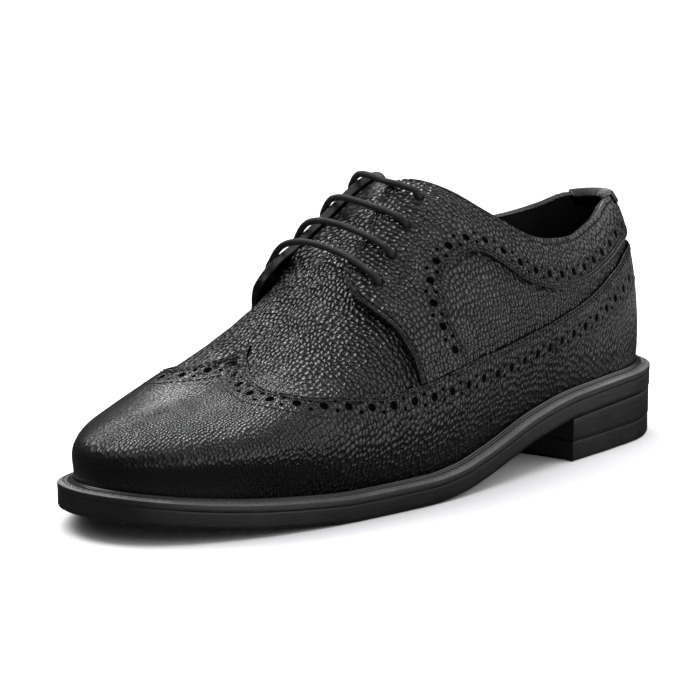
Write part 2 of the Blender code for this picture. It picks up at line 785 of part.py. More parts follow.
def make_heel_tab():
    """A strip folded over the top line at the back: a loft of upturned U sections."""
    outer_gap = FACING_GAP + HEEL_EASE + GAP
    inner_gap = -(OVERLAY + GAP + WALL + 2.0 * GAP)
    outside = outer_gap + TAB_THICKNESS
    inside = inner_gap - TAB_THICKNESS
    bend = 0.5 * TAB_THICKNESS
    low = 2.0 * GAP
    top = low + TAB_THICKNESS
    section = (
        (outside, -TAB_DROP),
        (outside, top - bend),
        (outside - bend, top),
        (inside + bend, top),
        (inside, top - bend),
        (inside, -TAB_DROP),
        (inner_gap, -TAB_DROP),
        (inner_gap, low),
        (outer_gap, low),
        (outer_gap, -TAB_DROP),
    )
    builder = bmesh.new()
    rings = []
    for place in np.linspace(-0.5, 0.5, TAB_SECTIONS):
        side = 1 if place >= 0.0 else -1
        station = np.array(float(station_of(abs(place) * TAB_WIDTH * TAB_SPREAD / HALF_ROUND, side)))
        girth = top_girth(side, station)
        edge = last_point(side, station, girth)
        normal = last_normal(side, station, girth)
        lower = last_point(side, station, girth - TAB_DROP / INSTEP_HEIGHT)
        up = (edge - lower) / np.linalg.norm(edge - lower)
        points = placed([edge + normal * out + up * high for out, high in section])
        rings.append([builder.verts.new(point) for point in points])
    count = len(section)
    for first, second in zip(rings, rings[1:]):
        for i in range(count):
            j = (i + 1) % count
            builder.faces.new((first[i], first[j], second[j], second[i]))
    outer_faces = ((0, 1, 8, 9), (1, 2, 3, 4, 7, 8), (4, 5, 6, 7))
    for ring in (rings[0], rings[-1]):
        for corners in outer_faces:
            builder.faces.new([ring[corner] for corner in corners])
    return add_part("heel_tab", builder, "leather")


def tongue_offset(side, station, girth):
    """The tongue's outer face: high in the throat, lower under the facings, raised at its top."""
    column = 1 if side > 0 else 2
    edge = through(TOP_LINE, np.clip(station, 0.0, TOP_LINE[-1][0]), column)
    under = OVERLAY + GAP + WALL + 2.0 * GAP + LACE_DIAMETER + 0.0010
    hidden = smooth((edge + 0.03 - girth) / 0.08) * (1.0 - smooth((station - 0.60) / 0.03))
    rise = TONGUE_RISE * smooth((0.415 - station) / 0.02) * smooth((girth - 0.90) / 0.08)
    vamp = VAMP_ROOM * smooth((station - 0.57) / 0.05)
    flare = throat_flare(side, station, girth) * hidden
    return rise + flare - vamp - TONGUE_DEPTH - (under - TONGUE_DEPTH) * hidden


def make_tongue():
    """The tongue, from below the vamp up to just above the facings."""
    stations = np.linspace(TONGUE[0][0], TONGUE[-1][0], 13)
    share = np.linspace(0.0, 1.0, 7)
    def points(side, depth):
        low = through(TONGUE, stations, 1 if side > 0 else 2)[:, None]
        girth = low + (1.0 - low) * share[None, :] ** 0.9
        station = np.broadcast_to(stations[:, None], girth.shape)
        return on_last(side, station, girth, tongue_offset(side, station, girth) - depth)

    return shell("tongue", both_sides(points), TONGUE_THICKNESS, "leather")


def eyelet_place(side, number, offset):
    station, outer, inner = EYELETS[number]
    girth = outer if side > 0 else inner
    return on_last(side, station, girth, offset + throat_flare(side, station, girth))


def make_eyelet_cutters(parts):
    """Round holes through the facings and the quarters below them."""
    for side in (1, -1):
        for number in range(len(EYELETS)):
            middle = placed(eyelet_place(side, number, -0.5 * WALL))
            outside = placed(eyelet_place(side, number, 0.010))
            axis = outside - middle
            bpy.ops.mesh.primitive_cylinder_add(vertices=12, radius=0.5 * EYELET_HOLE, depth=0.012,
                                                end_fill_type="NGON", location=middle)
            cutter = bpy.context.active_object
            cutter.name = f"eyelet_{'outer' if side > 0 else 'inner'}_{number + 1}"
            cutter.rotation_mode = "QUATERNION"
            cutter.rotation_quaternion = direction(axis).to_track_quat("Z", "Y")
            for part in parts[side]:
                use_cutter(part, cutter)


def direction(axis):
    from mathutils import Vector
    return Vector([float(value) for value in axis]).normalized()


def lace_under(side, station, girth):
    """How far out the middle of the lace lies below the quarters."""
    below = OVERLAY + GAP + WALL + 2.0 * GAP + 0.5 * LACE_DIAMETER
    return wall_flare(side, station, girth) - below


def bar_half(side, number):
    """One half of a bar: from under the eyelet, up through it and over the facing to the throat."""
    station, outer, inner = EYELETS[number]
    girth = outer if side > 0 else inner
    edge = float(top_girth(side, np.array(station)))
    clear = 0.5 * LACE_DIAMETER + BAR_LIFT
    steps = (
        (girth, 0.0),
        (girth, 0.60),
        (girth + 0.0015, 0.80),
        (girth + 0.006, 0.93),
        (girth + 0.015, 1.0),
        (0.5 * (girth + edge), 1.0),
        (edge, 1.0),
    )
    points = []
    for at, rise in steps:
        low = lace_under(side, station, at)
        high = facing_offset(side, station, at) + clear
        points.append(on_last(side, station, at, low + (high - low) * rise))
    return points


def lace_row(side, number, shift):
    """A place below the quarters beside the row of eyelets."""
    stations = [row[0] for row in EYELETS]
    girths = [row[1 if side > 0 else 2] for row in EYELETS]
    station = np.interp(number, range(len(EYELETS)), stations)
    girth = np.interp(number, range(len(EYELETS)), girths) - shift
    return on_last(side, station, girth, lace_under(side, station, girth))


def lace_route():
    """The lace as one cord: a bar at each pair, joined by runs under the quarters."""
    route = []
    side = 1
    for number in range(len(EYELETS)):
        route += bar_half(side, number)
        route += bar_half(-side, number)[::-1]
        side = -side
        if number + 1 < len(EYELETS):
            route.append(lace_row(side, number + 0.5, 0.0))
    for number in LACE_TAIL:
        route.append(lace_row(1, number, TAIL_SHIFT))
    return placed(route)


def make_laces():
    """The four bars and their hidden runs, as one round cord."""
    curve = bpy.data.curves.new("laces", "CURVE")
    curve.dimensions = "3D"
    curve.bevel_depth = 0.5 * LACE_DIAMETER
    curve.bevel_resolution = 2
    curve.use_fill_caps = True
    route = lace_route()
    spline = curve.splines.new("POLY")
    spline.points.add(len(route) - 1)
    for point, place in zip(spline.points, route):
        point.co = (*place, 1.0)
    part = bpy.data.objects.new("laces", curve)
    curve.materials.append(material("lace", "laces_cord"))
    PARTS.objects.link(part)


def main():
    make_sole()
    make_welt()
    make_insole()
    upper = make_upper()
    make_wing()
    facing_outer = make_facing(1, "facing_outer")
    facing_inner = make_facing(-1, "facing_inner")
    make_heel_tab()
    make_tongue()
    make_eyelet_cutters({1: (upper, facing_outer), -1: (upper, facing_inner)})
    make_laces()


main()
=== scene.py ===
"""The looks of a left brogue shoe: a long-wing derby in black pebble-grained leather.

Metres, +Z up, the toe points to -Y and the outer side is +X, as in the model. Shapes are worked out
on the last: a side, +1 outer and -1 inner, a station from heel to toe, and a girth from welt to ridge.
"""

from math import pi

import bmesh
import bpy
import numpy as np
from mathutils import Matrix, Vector
from mathutils.kdtree import KDTree


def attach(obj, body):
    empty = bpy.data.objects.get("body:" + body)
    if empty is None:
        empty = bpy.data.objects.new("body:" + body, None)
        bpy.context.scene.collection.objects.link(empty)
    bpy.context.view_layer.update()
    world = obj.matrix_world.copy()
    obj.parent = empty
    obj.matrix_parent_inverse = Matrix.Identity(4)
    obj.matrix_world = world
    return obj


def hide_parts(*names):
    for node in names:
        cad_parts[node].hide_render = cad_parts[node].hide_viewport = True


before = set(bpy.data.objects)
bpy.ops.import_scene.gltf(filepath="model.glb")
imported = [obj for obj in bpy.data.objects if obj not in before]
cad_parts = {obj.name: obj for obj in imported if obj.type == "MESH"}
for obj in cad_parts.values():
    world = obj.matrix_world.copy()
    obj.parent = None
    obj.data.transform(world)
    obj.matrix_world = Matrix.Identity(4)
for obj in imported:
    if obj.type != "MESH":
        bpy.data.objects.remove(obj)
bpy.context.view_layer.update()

# Sizes of the last and sole, as in the model
LENGTH = 0.300
BALL_WIDTH = 0.104
HEEL_LIFT = 0.0194
TOE_SPRING = 0.0086
OUTSOLE_THICKNESS = 0.0065
WELT_THICKNESS = 0.0032
WELT_WIDTH = 0.0062
TOP_LIFT_THICKNESS = 0.0080
BREAST_OUTER = 0.0810
BREAST_INNER = 0.0890
BREAST_HOLLOW = 0.0040
INSOLE_THICKNESS = 0.0025
INSTEP_HEIGHT = 0.1125
GAP = 0.0003
HEEL_FOCUS = 0.0490
TOE_FOCUS = 0.2615
INNER_FULLNESS = 0.35
SEAM_BLEND = 0.09
FLARE_OUTER = 0.0012
FLARE_INNER = 0.0045
FRONT_LIFT = 0.0018
THROAT_END = 0.640

# Looks
LEATHER = 0.0012
LINING_DEPTH = 0.0034
BASE_DEPTH = 0.0013
FACING_LIFT = 0.0003
LACE_RADIUS = 0.00128
HOLE_RADIUS = 0.00160
PIN_RADIUS = 0.00078
PIN_SPREAD = 0.00200
HOLE_PITCH = 0.0098
HOLE_DEPTH = 0.0010
SEAM_RADIUS = 0.035
THREAD = 0.00026
STITCH = 0.0021
STITCH_PITCH = 0.0026
WALL = 0.0020
LACE_CLEAR = 0.0006
WELD = 2e-6

# Notches in the rubber lift, and the heel tab
NOTCH_RADIUS = 0.0005
TAB_WIDTH = 0.024
TAB_DROP = 0.0045

# Sewn rows, as distances from an edge, and the trough that a row lies in
WING_ROWS = (0.0013, 0.0026)
BAND_ROWS = (0.0012, 0.0025)
COLLAR_ROW = 0.0024
FRONT_ROW = 0.0012
BEYOND_HOLES = 0.0047
TROUGH_WIDTH = 0.00038
TROUGH_DEPTH = 0.00028

# How far the band's big holes run from its lower edge
BAND_HOLES = 0.0056

# Outline of the sole, in shares: along its length, and sideways of the ball's width
OUTLINE = (
    (0.000, 0.000),
    (0.020, 0.168),
    (0.080, 0.293),
    (0.167, 0.351),
    (0.283, 0.399),
    (0.417, 0.457),
    (0.550, 0.500),
    (0.667, 0.495),
    (0.767, 0.469),
    (0.863, 0.402),
    (0.943, 0.284),
    (0.985, 0.154),
    (1.000, 0.000),
    (0.984, -0.163),
    (0.937, -0.312),
    (0.867, -0.428),
    (0.783, -0.490),
    (0.700, -0.498),
    (0.600, -0.447),
    (0.483, -0.361),
    (0.367, -0.308),
    (0.250, -0.312),
    (0.167, -0.322),
    (0.080, -0.293),
    (0.020, -0.168),
)

# Underside of the sole: share of the length, share of the heel's lift, share of the toe spring
SOLE_LINE = (
    (0.000, 1.000, 0.00),
    (0.133, 0.970, 0.00),
    (0.253, 0.895, 0.00),
    (0.350, 0.700, 0.00),
    (0.467, 0.250, 0.00),
    (0.527, 0.067, 0.00),
    (0.583, 0.000, 0.00),
    (0.700, 0.000, 0.00),
    (0.783, 0.000, 0.16),
    (0.883, 0.000, 0.46),
    (1.000, 0.000, 1.00),
)

# Sections of the last round the sole from heel to toe: share of the way, roundness, bulge, rise
SECTIONS = (
    (0.00, 0.32, 0.08, 1.15),
    (0.03, 0.36, 0.06, 1.14),
    (0.06, 0.50, 0.04, 1.13),
    (0.10, 0.70, 0.03, 1.12),
    (0.20, 0.80, 0.10, 1.05),
    (0.34, 0.78, 0.18, 1.03),
    (0.50, 0.76, 0.22, 1.02),
    (0.63, 0.98, 0.25, 1.00),
    (0.76, 1.14, 0.27, 0.70),
    (0.88, 1.08, 0.18, 0.53),
    (1.00, 1.00, 0.05, 0.53),
)

# The ridge: share of the length, share of the instep's height, sideways share of the ball's width
RIDGE = (
    (0.133, 0.929, 0.000),
    (0.300, 0.978, -0.029),
    (0.457, 1.000, -0.058),
    (0.550, 0.853, -0.058),
    (0.633, 0.671, -0.048),
    (0.717, 0.511, -0.034),
    (0.800, 0.391, -0.014),
    (0.873, 0.351, 0.000),
)

# Collar and throat: station, girth on the outer side, girth on the inner side
TOP_LINE = (
    (0.000, 0.735, 0.735),
    (0.030, 0.700, 0.700),
    (0.062, 0.638, 0.645),
    (0.130, 0.562, 0.580),
    (0.200, 0.519, 0.550),
    (0.247, 0.519, 0.548),
    (0.291, 0.537, 0.565),
    (0.323, 0.580, 0.600),
    (0.345, 0.635, 0.650),
    (0.368, 0.710, 0.715),
    (0.390, 0.830, 0.800),
    (0.412, 0.925, 0.875),
    (0.440, 0.962, 0.900),
    (0.474, 0.950, 0.885),
    (0.520, 0.919, 0.845),
    (0.569, 0.868, 0.800),
    (0.606, 0.828, 0.765),
)

# Front edge of the facing, with the same columns
FRONT_EDGE = (
    (0.622, 0.781, 0.725),
    (0.630, 0.706, 0.660),
    (0.625, 0.619, 0.590),
    (0.616, 0.525, 0.510),
    (0.613, 0.438, 0.430),
    (0.609, 0.324, 0.324),
)

# Lower edge of the punched band, round to the facing's back edge: station, girth
BAND_EDGE = (
    (0.000, 0.520),
    (0.038, 0.475),
    (0.085, 0.425),
    (0.141, 0.377),
    (0.208, 0.342),
    (0.273, 0.340),
    (0.326, 0.369),
    (0.360, 0.406),
    (0.402, 0.488),
    (0.427, 0.537),
    (0.448, 0.562),
    (0.470, 0.575),
    (0.492, 0.575),
    (0.515, 0.556),
    (0.527, 0.513),
    (0.532, 0.463),
    (0.529, 0.400),
    (0.518, 0.298),
)

# The wing: station at the welt, station and girth of its edge, station at the top line or ridge
WING = (
    (0.000, 0.000, 0.475, 0.000),
    (0.035, 0.035, 0.440, 0.035),
    (0.070, 0.070, 0.397, 0.070),
    (0.110, 0.110, 0.360, 0.110),
    (0.160, 0.160, 0.316, 0.160),
    (0.245, 0.245, 0.268, 0.245),
    (0.344, 0.344, 0.248, 0.344),
    (0.430, 0.430, 0.254, 0.430),
    (0.515, 0.515, 0.292, 0.515),
    (0.606, 0.606, 0.318, 0.606),
    (0.645, 0.645, 0.344, 0.640),
    (0.690, 0.690, 0.380, 0.664),
    (0.730, 0.730, 0.425, 0.685),
    (0.765, 0.765, 0.467, 0.703),
    (0.800, 0.790, 0.530, 0.720),
    (0.840, 0.815, 0.655, 0.735),
    (0.870, 0.818, 0.770, 0.747),
    (0.900, 0.808, 0.880, 0.757),
    (0.925, 0.795, 0.960, 0.766),
    (0.945, 0.775, 1.000, 0.775),
    (0.965, 0.850, 1.000, 0.850),
    (0.985, 0.930, 1.000, 0.930),
    (1.000, 1.000, 1.000, 1.000),
)
PEAK_ROW = 19
EDGE_END = 0.9995

# How far the row of big holes runs from the wing's edge: station, distance in mm
WING_HOLES = (
    (0.00, 9.5),
    (0.20, 9.3),
    (0.45, 8.6),
    (0.56, 6.6),
    (0.64, 4.9),
    (0.76, 4.9),
    (0.82, 5.8),
    (1.00, 6.0),
)

# Creases across the vamp: station at the ridge, lean towards the toe per girth, girths where it starts
# and ends, half width in stations, depth
CREASES = (
    (0.655, 0.020, 0.52, 1.20, 0.0065, 0.00035),
    (0.684, 0.035, 0.46, 1.20, 0.0075, 0.00045),
    (0.712, 0.050, 0.55, 0.92, 0.0060, 0.00030),
)

# Eyelets: station, girth on the outer side, girth on the inner side
EYELETS = (
    (0.453, 0.825, 0.765),
    (0.504, 0.788, 0.720),
    (0.553, 0.744, 0.675),
    (0.595, 0.694, 0.635),
)

# The sewn row behind the eyelets: station, girth
BEHIND_EYELETS = (
    (0.440, 0.870),
    (0.447, 0.820),
    (0.490, 0.765),
    (0.540, 0.715),
    (0.575, 0.655),
    (0.592, 0.600),
)

# Lower edge of the tongue: station, girth on the outer side, girth on the inner side
TONGUE = (
    (0.400, 0.800, 0.760),
    (0.440, 0.740, 0.700),
    (0.520, 0.690, 0.650),
    (0.600, 0.640, 0.600),
    (0.680, 0.660, 0.620),
    (0.720, 0.780, 0.740),
)

# Where the cord's end runs down under the facing, counted in rows of eyelets
LACE_TAIL = (2.6, 1.8, 0.9, 0.1)


def smooth(value):
    t = np.clip(value, 0.0, 1.0)
    return t * t * (3.0 - 2.0 * t)


def hermite(xs, ys, at, flowing=False):
    xs, ys = np.asarray(xs, float), np.asarray(ys, float)
    step = np.diff(xs)
    slope = np.diff(ys) / step
    tangent = np.zeros_like(ys)
    tangent[0], tangent[-1] = slope[0], slope[-1]
    before, after = slope[:-1], slope[1:]
    if flowing:
        tangent[1:-1] = (step[1:] * before + step[:-1] * after) / (step[1:] + step[:-1])
    else:
        rising = before * after > 0.0
        near, far = 2.0 * step[1:] + step[:-1], step[1:] + 2.0 * step[:-1]
        mean = (near + far) / (near / np.where(rising, before, 1.0) + far / np.where(rising, after, 1.0))
        tangent[1:-1] = np.where(rising, mean, 0.0)
    at = np.asarray(at, float)
    i = np.clip(np.searchsorted(xs, at, side="right") - 1, 0, len(xs) - 2)
    t = np.clip((at - xs[i]) / step[i], 0.0, 1.0)
    start = (1.0 + 2.0 * t) * (1.0 - t) ** 2 * ys[i] + t * (1.0 - t) ** 2 * step[i] * tangent[i]
    end = t * t * (3.0 - 2.0 * t) * ys[i + 1] + t * t * (t - 1.0) * step[i] * tangent[i + 1]
    return start + end


def through(rows, at, column=1, flowing=False):
    return hermite([row[0] for row in rows], [row[column] for row in rows], at, flowing)


def run_length(points):
    """How far along a polyline each of its points lies."""
    return np.concatenate([[0.0], np.cumsum(np.linalg.norm(np.diff(points, axis=0), axis=1))])


def even_run(points, count, closed=False):
    if closed:
        points = np.vstack([points, points[:1]])
    run = run_length(points)
    even = np.linspace(0.0, run[-1], count, endpoint=not closed)
    return np.stack([np.interp(even, run, points[:, k]) for k in range(points.shape[1])], axis=-1)


def outline_curve(count=2800):
    points = np.array([(side * BALL_WIDTH, along * LENGTH) for along, side in OUTLINE])
    wrapped = np.vstack([points[-3:], points, points[:4]])
    chord = np.sqrt(np.hypot(*np.diff(wrapped, axis=0).T))
    knots = np.concatenate([[0.0], np.cumsum(chord)])
    at = np.linspace(knots[3], knots[3 + len(points)], 4 * count, endpoint=False)
    curve = np.stack([hermite(knots, wrapped[:, k], at, True) for k in (0, 1)], axis=-1)
    return even_run(curve, count, closed=True)


def inset(curve, distance):
    tangent = np.roll(curve, -2, axis=0) - np.roll(curve, 2, axis=0)
    tangent /= np.linalg.norm(tangent, axis=1)[:, None]
    return curve - np.stack([tangent[:, 1], -tangent[:, 0]], axis=-1) * distance


EDGE = outline_curve()
FEATHER = inset(EDGE, WELT_WIDTH)
CENTRE_X = 0.5 * (EDGE[:, 0].max() + EDGE[:, 0].min())
CENTRE_Y = 0.5 * (EDGE[:, 1].max() + EDGE[:, 1].min())
HEEL_END = FEATHER[:, 1].min()
TOE_END = FEATHER[:, 1].max()


def half_curve(curve, side):
    heel = int(np.argmin(curve[:, 1]))
    turned = np.roll(curve, -heel, axis=0)
    toe = int(np.argmax(turned[:, 1]))
    half = turned[:toe + 1] if side > 0 else np.vstack([turned[:1], turned[:toe - 1:-1]])
    run = np.concatenate([[0.0], np.cumsum(np.hypot(*np.diff(half, axis=0).T))])
    return half, run / run[-1]


def half_tables(curve):
    tables = {}
    for side in (1, -1):
        half, share = half_curve(curve, side)
        order = np.argsort(half[:, 1], kind="stable")
        tables[side] = (half[order, 1], half[order, 0], share[order])
    return tables


HALVES = half_tables(FEATHER)


def sole_bottom(y):
    share = np.asarray(y, float) / LENGTH
    return HEEL_LIFT * through(SOLE_LINE, share, 1) + TOE_SPRING * through(SOLE_LINE, share, 2)


def outsole_top(y):
    return sole_bottom(y) + OUTSOLE_THICKNESS


def welt_top(y):
    return outsole_top(y) + GAP + WELT_THICKNESS


def share_of(station, side=1):
    along, _, shares = HALVES[side]
    return np.interp(HEEL_END + (TOE_END - HEEL_END) * np.asarray(station, float), along, shares)


def station_of(share, side=1):
    along, _, shares = HALVES[side]
    order = np.argsort(shares, kind="stable")
    return (np.interp(share, shares[order], along[order]) - HEEL_END) / (TOE_END - HEEL_END)


def last_point(side, station, girth):
    station, girth = np.asarray(station, float), np.asarray(girth, float)
    y = HEEL_END + (TOE_END - HEEL_END) * station
    along, out, shares = HALVES[side]
    x, share = np.interp(y, along, out), np.interp(y, along, shares)
    full = 1.0
    if side < 0:
        full = 1.0 - (1.0 - INNER_FULLNESS) * smooth(share / SEAM_BLEND) * smooth((1.0 - share) / SEAM_BLEND)
    roundness = through(SECTIONS, share, 1)
    bulge = through(SECTIONS, share, 2) * full
    rise = through(SECTIONS, share, 3)
    ridge_y = HEEL_FOCUS + (TOE_FOCUS - HEEL_FOCUS) * station
    ridge_z = INSTEP_HEIGHT * through(RIDGE, ridge_y / LENGTH, 1)
    ridge_x = BALL_WIDTH * through(RIDGE, ridge_y / LENGTH, 2)
    roundness = roundness - np.maximum(roundness - 1.0, 0.0) * smooth((girth - 0.6) / 0.35)
    angle = girth * pi / 2.0
    reach = np.clip(np.cos(angle), 1e-12, 1.0) ** roundness + bulge * 6.75 * girth * (1.0 - girth) ** 2
    low = welt_top(y) + GAP
    z = low + (ridge_z - low) * np.sin(angle) ** rise
    return np.stack([ridge_x + (x - ridge_x) * reach, ridge_y + (y - ridge_y) * reach, z], axis=-1)


def last_normal(side, station, girth):
    station, girth = np.asarray(station, float), np.asarray(girth, float)
    share = share_of(station, side)
    before = station_of(np.clip(share - 0.006, 0.0, 1.0), side)
    after = station_of(np.clip(share + 0.006, 0.0, 1.0), side)
    safe = np.clip(girth, 0.0, 0.985)
    around = last_point(side, after, safe) - last_point(side, before, safe)
    up = (last_point(side, station, np.clip(safe + 0.012, 0.0, 0.99))
          - last_point(side, station, np.clip(safe - 0.012, 0.0, 1.0)))
    normal = np.cross(around, up) * side
    ridge = (last_point(side, np.clip(station + 0.01, 0.0, 1.0), 1.0 + 0.0 * station)
             - last_point(side, np.clip(station - 0.01, 0.0, 1.0), 1.0 + 0.0 * station))
    normal /= np.linalg.norm(normal, axis=-1)[..., None]
    for weight, along_seam, outward in (
            (1.0 - smooth(share / 0.010), up, -1.0),
            (1.0 - smooth((1.0 - share) / 0.010), up, 1.0),
            (smooth((girth - 0.97) / 0.03), ridge, -1.0)):
        flat = np.stack([0.0 * share, along_seam[..., 2], -along_seam[..., 1]], axis=-1) * outward
        flat /= np.linalg.norm(flat, axis=-1)[..., None]
        normal = normal + (flat - normal) * weight[..., None]
    return normal / np.linalg.norm(normal, axis=-1)[..., None]


def on_last(side, station, girth, offset=0.0):
    station, girth = np.broadcast_arrays(np.asarray(station, float), np.asarray(girth, float))
    offset = np.broadcast_to(np.asarray(offset, float), station.shape)
    return last_point(side, station, girth) + last_normal(side, station, girth) * offset[..., None]


def throat_flare(side, station, girth):
    size = FLARE_OUTER if side > 0 else FLARE_INNER
    return size * smooth((station - 0.34) / 0.08) * smooth((girth - 0.45) / 0.40)


def top_girth(side, station):
    edge = through(TOP_LINE, np.clip(station, 0.0, TOP_LINE[-1][0]), 1 if side > 0 else 2)
    closing = smooth((station - TOP_LINE[-1][0]) / (THROAT_END - TOP_LINE[-1][0] - 0.004))
    return edge + (1.0 - edge) * closing


def placed(points):
    points = np.asarray(points, float)
    return np.stack([points[..., 0] - CENTRE_X, CENTRE_Y - points[..., 1], points[..., 2]], axis=-1)


def surface_step(side, station, girth, want, nudge_a, nudge_v, least):
    """The steps in station and girth that carry places on the last by 3-D vectors, and the steps' lengths."""
    here = last_point(side, station, girth)
    nudge_a = np.where(station > 0.5, -nudge_a, nudge_a)
    nudge_v = np.where(girth > 0.5, -nudge_v, nudge_v)
    by_a = (last_point(side, station + nudge_a, girth) - here) / nudge_a[..., None]
    by_v = (last_point(side, station, girth + nudge_v) - here) / nudge_v[..., None]
    aa, vv, av = np.sum(by_a * by_a, -1), np.sum(by_v * by_v, -1), np.sum(by_a * by_v, -1)
    wa, wv = np.sum(want * by_a, -1), np.sum(want * by_v, -1)
    det = aa * vv - av * av + least
    step_a, step_v = (wa * vv - wv * av) / det, (wv * aa - wa * av) / det
    square = step_a ** 2 * aa + step_v ** 2 * vv + 2 * step_a * step_v * av
    return step_a, step_v, np.sqrt(np.maximum(square, 1e-18))


def crawl(side, station, girth, inward, distance, steps=8):
    """Walks from places on the last along the surface, for a distance in a 3-D direction."""
    station, girth = np.array(station, float), np.array(girth, float)
    length = np.broadcast_to(np.asarray(distance, float), station.shape) / steps
    for _ in range(steps):
        want = inward * length[..., None]
        step_a, step_v, moved = surface_step(side, station, girth, want, 2e-3, 2e-3, 1e-18)
        scale = length / moved
        station = np.clip(station + step_a * scale, 0.0, 1.0)
        girth = np.clip(girth + step_v * scale, 0.0, 1.0)
    return station, girth


def towards_place(side, station, girth, points):
    """One step from places on the last to those nearest to points by it."""
    want = points - last_point(side, station, girth)
    step_a, step_v, _ = surface_step(side, station, girth, want, 1e-3, 2e-3, 1e-12)
    station = np.clip(station + np.clip(step_a, -0.02, 0.02), 0.0, 1.0)
    return station, np.clip(girth + np.clip(step_v, -0.03, 0.03), 0.0, 1.0)


def edge_offset(side, station, girth, distance, towards, other=None):
    """A line beside an edge, on the last. towards is +1 or -1, to the left or right of its run.
    other holds points of a further edge that the line keeps clear of."""
    point = last_point(side, station, girth)
    tangent = np.gradient(point, axis=0)
    tangent /= np.linalg.norm(tangent, axis=1)[:, None] + 1e-12
    inward = np.cross(last_normal(side, station, girth), tangent) * towards
    a, v = crawl(side, station, girth, inward, distance)
    tree = tree_of(point if other is None else np.vstack([point, other]))
    moved = last_point(side, a, v)
    need = np.broadcast_to(np.asarray(distance, float), a.shape)
    keep = np.array([tree.find(p)[2] > 0.93 * d for p, d in zip(moved, need)])
    keep &= (a > 0.0015) & (a < 0.9985) & (v < 0.9985)
    return a[keep], v[keep]


def to_seams(a, v):
    """Carries a line of the wing back to the heel's seam, and on to the ridge."""
    slope = (a[-1] - a[-6]) / max(v[-1] - v[-6], 1e-4)
    last = a[-1] + np.clip((1.0 - v[-1]) * slope, -0.006, 0.006)
    return np.concatenate([[0.0], a, [last]]), np.concatenate([v[:1], v, [1.0]])


def tree_of(points):
    tree = KDTree(len(points))
    for i, point in enumerate(points):
        tree.insert(point, i)
    tree.balance()
    return tree


def distances(tree, points):
    flat = points.reshape(-1, 3)
    found = np.array([tree.find(p)[2] for p in flat])
    return found.reshape(points.shape[:-1])


# Materials


def start_material(name):
    material = bpy.data.materials.new(name)
    material.use_nodes = True
    tree = material.node_tree
    shader = tree.nodes["Principled BSDF"]
    return material, tree, shader


def mapped(tree, scale, turn=(0.0, 0.0, 0.0)):
    place = tree.nodes.new("ShaderNodeTexCoord")
    mapping = tree.nodes.new("ShaderNodeMapping")
    mapping.inputs["Scale"].default_value = scale
    mapping.inputs["Rotation"].default_value = turn
    tree.links.new(place.outputs["Object"], mapping.inputs["Vector"])
    return mapping.outputs["Vector"]


def noise(tree, vector, scale, detail=3.0, roughness=0.5):
    made = tree.nodes.new("ShaderNodeTexNoise")
    made.inputs["Scale"].default_value = scale
    made.inputs["Detail"].default_value = detail
    made.inputs["Roughness"].default_value = roughness
    tree.links.new(vector, made.inputs["Vector"])
    return made.outputs["Fac"]


def ranged(tree, value, low, high, to_low, to_high, smooth_step=True):
    made = tree.nodes.new("ShaderNodeMapRange")
    made.interpolation_type = "SMOOTHSTEP" if smooth_step else "LINEAR"
    made.inputs["From Min"].default_value = low
    made.inputs["From Max"].default_value = high
    made.inputs["To Min"].default_value = to_low
    made.inputs["To Max"].default_value = to_high
    tree.links.new(value, made.inputs["Value"])
    return made.outputs["Result"]


def math(tree, operation, first, second):
    made = tree.nodes.new("ShaderNodeMath")
    made.operation = operation
    for socket, value in zip(made.inputs, (first, second)):
        if isinstance(value, (int, float)):
            socket.default_value = value
        else:
            tree.links.new(value, socket)
    return made.outputs[0]


def bump(tree, height, strength, distance, after=None):
    made = tree.nodes.new("ShaderNodeBump")
    made.inputs["Strength"].default_value = strength
    made.inputs["Distance"].default_value = distance
    tree.links.new(height, made.inputs["Height"])
    if after is not None:
        tree.links.new(after, made.inputs["Normal"])
    return made.outputs["Normal"]


def blend_colours(tree, factor, first, second):
    made = tree.nodes.new("ShaderNodeMix")
    made.data_type = "RGBA"
    made.inputs[6].default_value = (*first, 1.0)
    made.inputs[7].default_value = (*second, 1.0)
    tree.links.new(factor, made.inputs[0])
    return made.outputs[2]


# How much finer the grain is on the toe, and how much of its relief is left in the flatter places
TOE_GRAIN = 0.64
TOE_RELIEF = 0.42
LOW_TOE_RELIEF = 0.20
CROWN_RELIEF = 0.30
HEEL_RELIEF = 0.38

# How evenly the pebbles lie, and how far a slow noise shifts them
PEBBLE_SPREAD = 0.66
PEBBLE_WARP = 0.003


def cells(tree, vector, feature, scale, flat):
    made = tree.nodes.new("ShaderNodeTexVoronoi")
    made.voronoi_dimensions = "2D" if flat else "3D"
    made.feature = feature
    made.inputs["Scale"].default_value = scale
    made.inputs["Randomness"].default_value = PEBBLE_SPREAD
    tree.links.new(vector, made.inputs["Vector"])
    return made.outputs["Distance"]


def pebbles(tree, vector, cell, flat):
    """Each pebble's dome, and how far a place is from the groove round it."""
    middle = cells(tree, vector, "F1", 1.0 / cell, flat)
    edge = cells(tree, vector, "DISTANCE_TO_EDGE", 1.0 / cell, flat)
    dome = ranged(tree, math(tree, "POWER", middle, 2.0), 0.0, 0.40, 1.0, 0.0, False)
    return dome, ranged(tree, edge, 0.02, 0.26, 0.0, 1.0)


def blend(tree, factor, first, second):
    made = tree.nodes.new("ShaderNodeMix")
    for socket, value in zip((0, 2, 3), (factor, first, second)):
        tree.links.new(value, made.inputs[socket])
    return made.outputs[0]


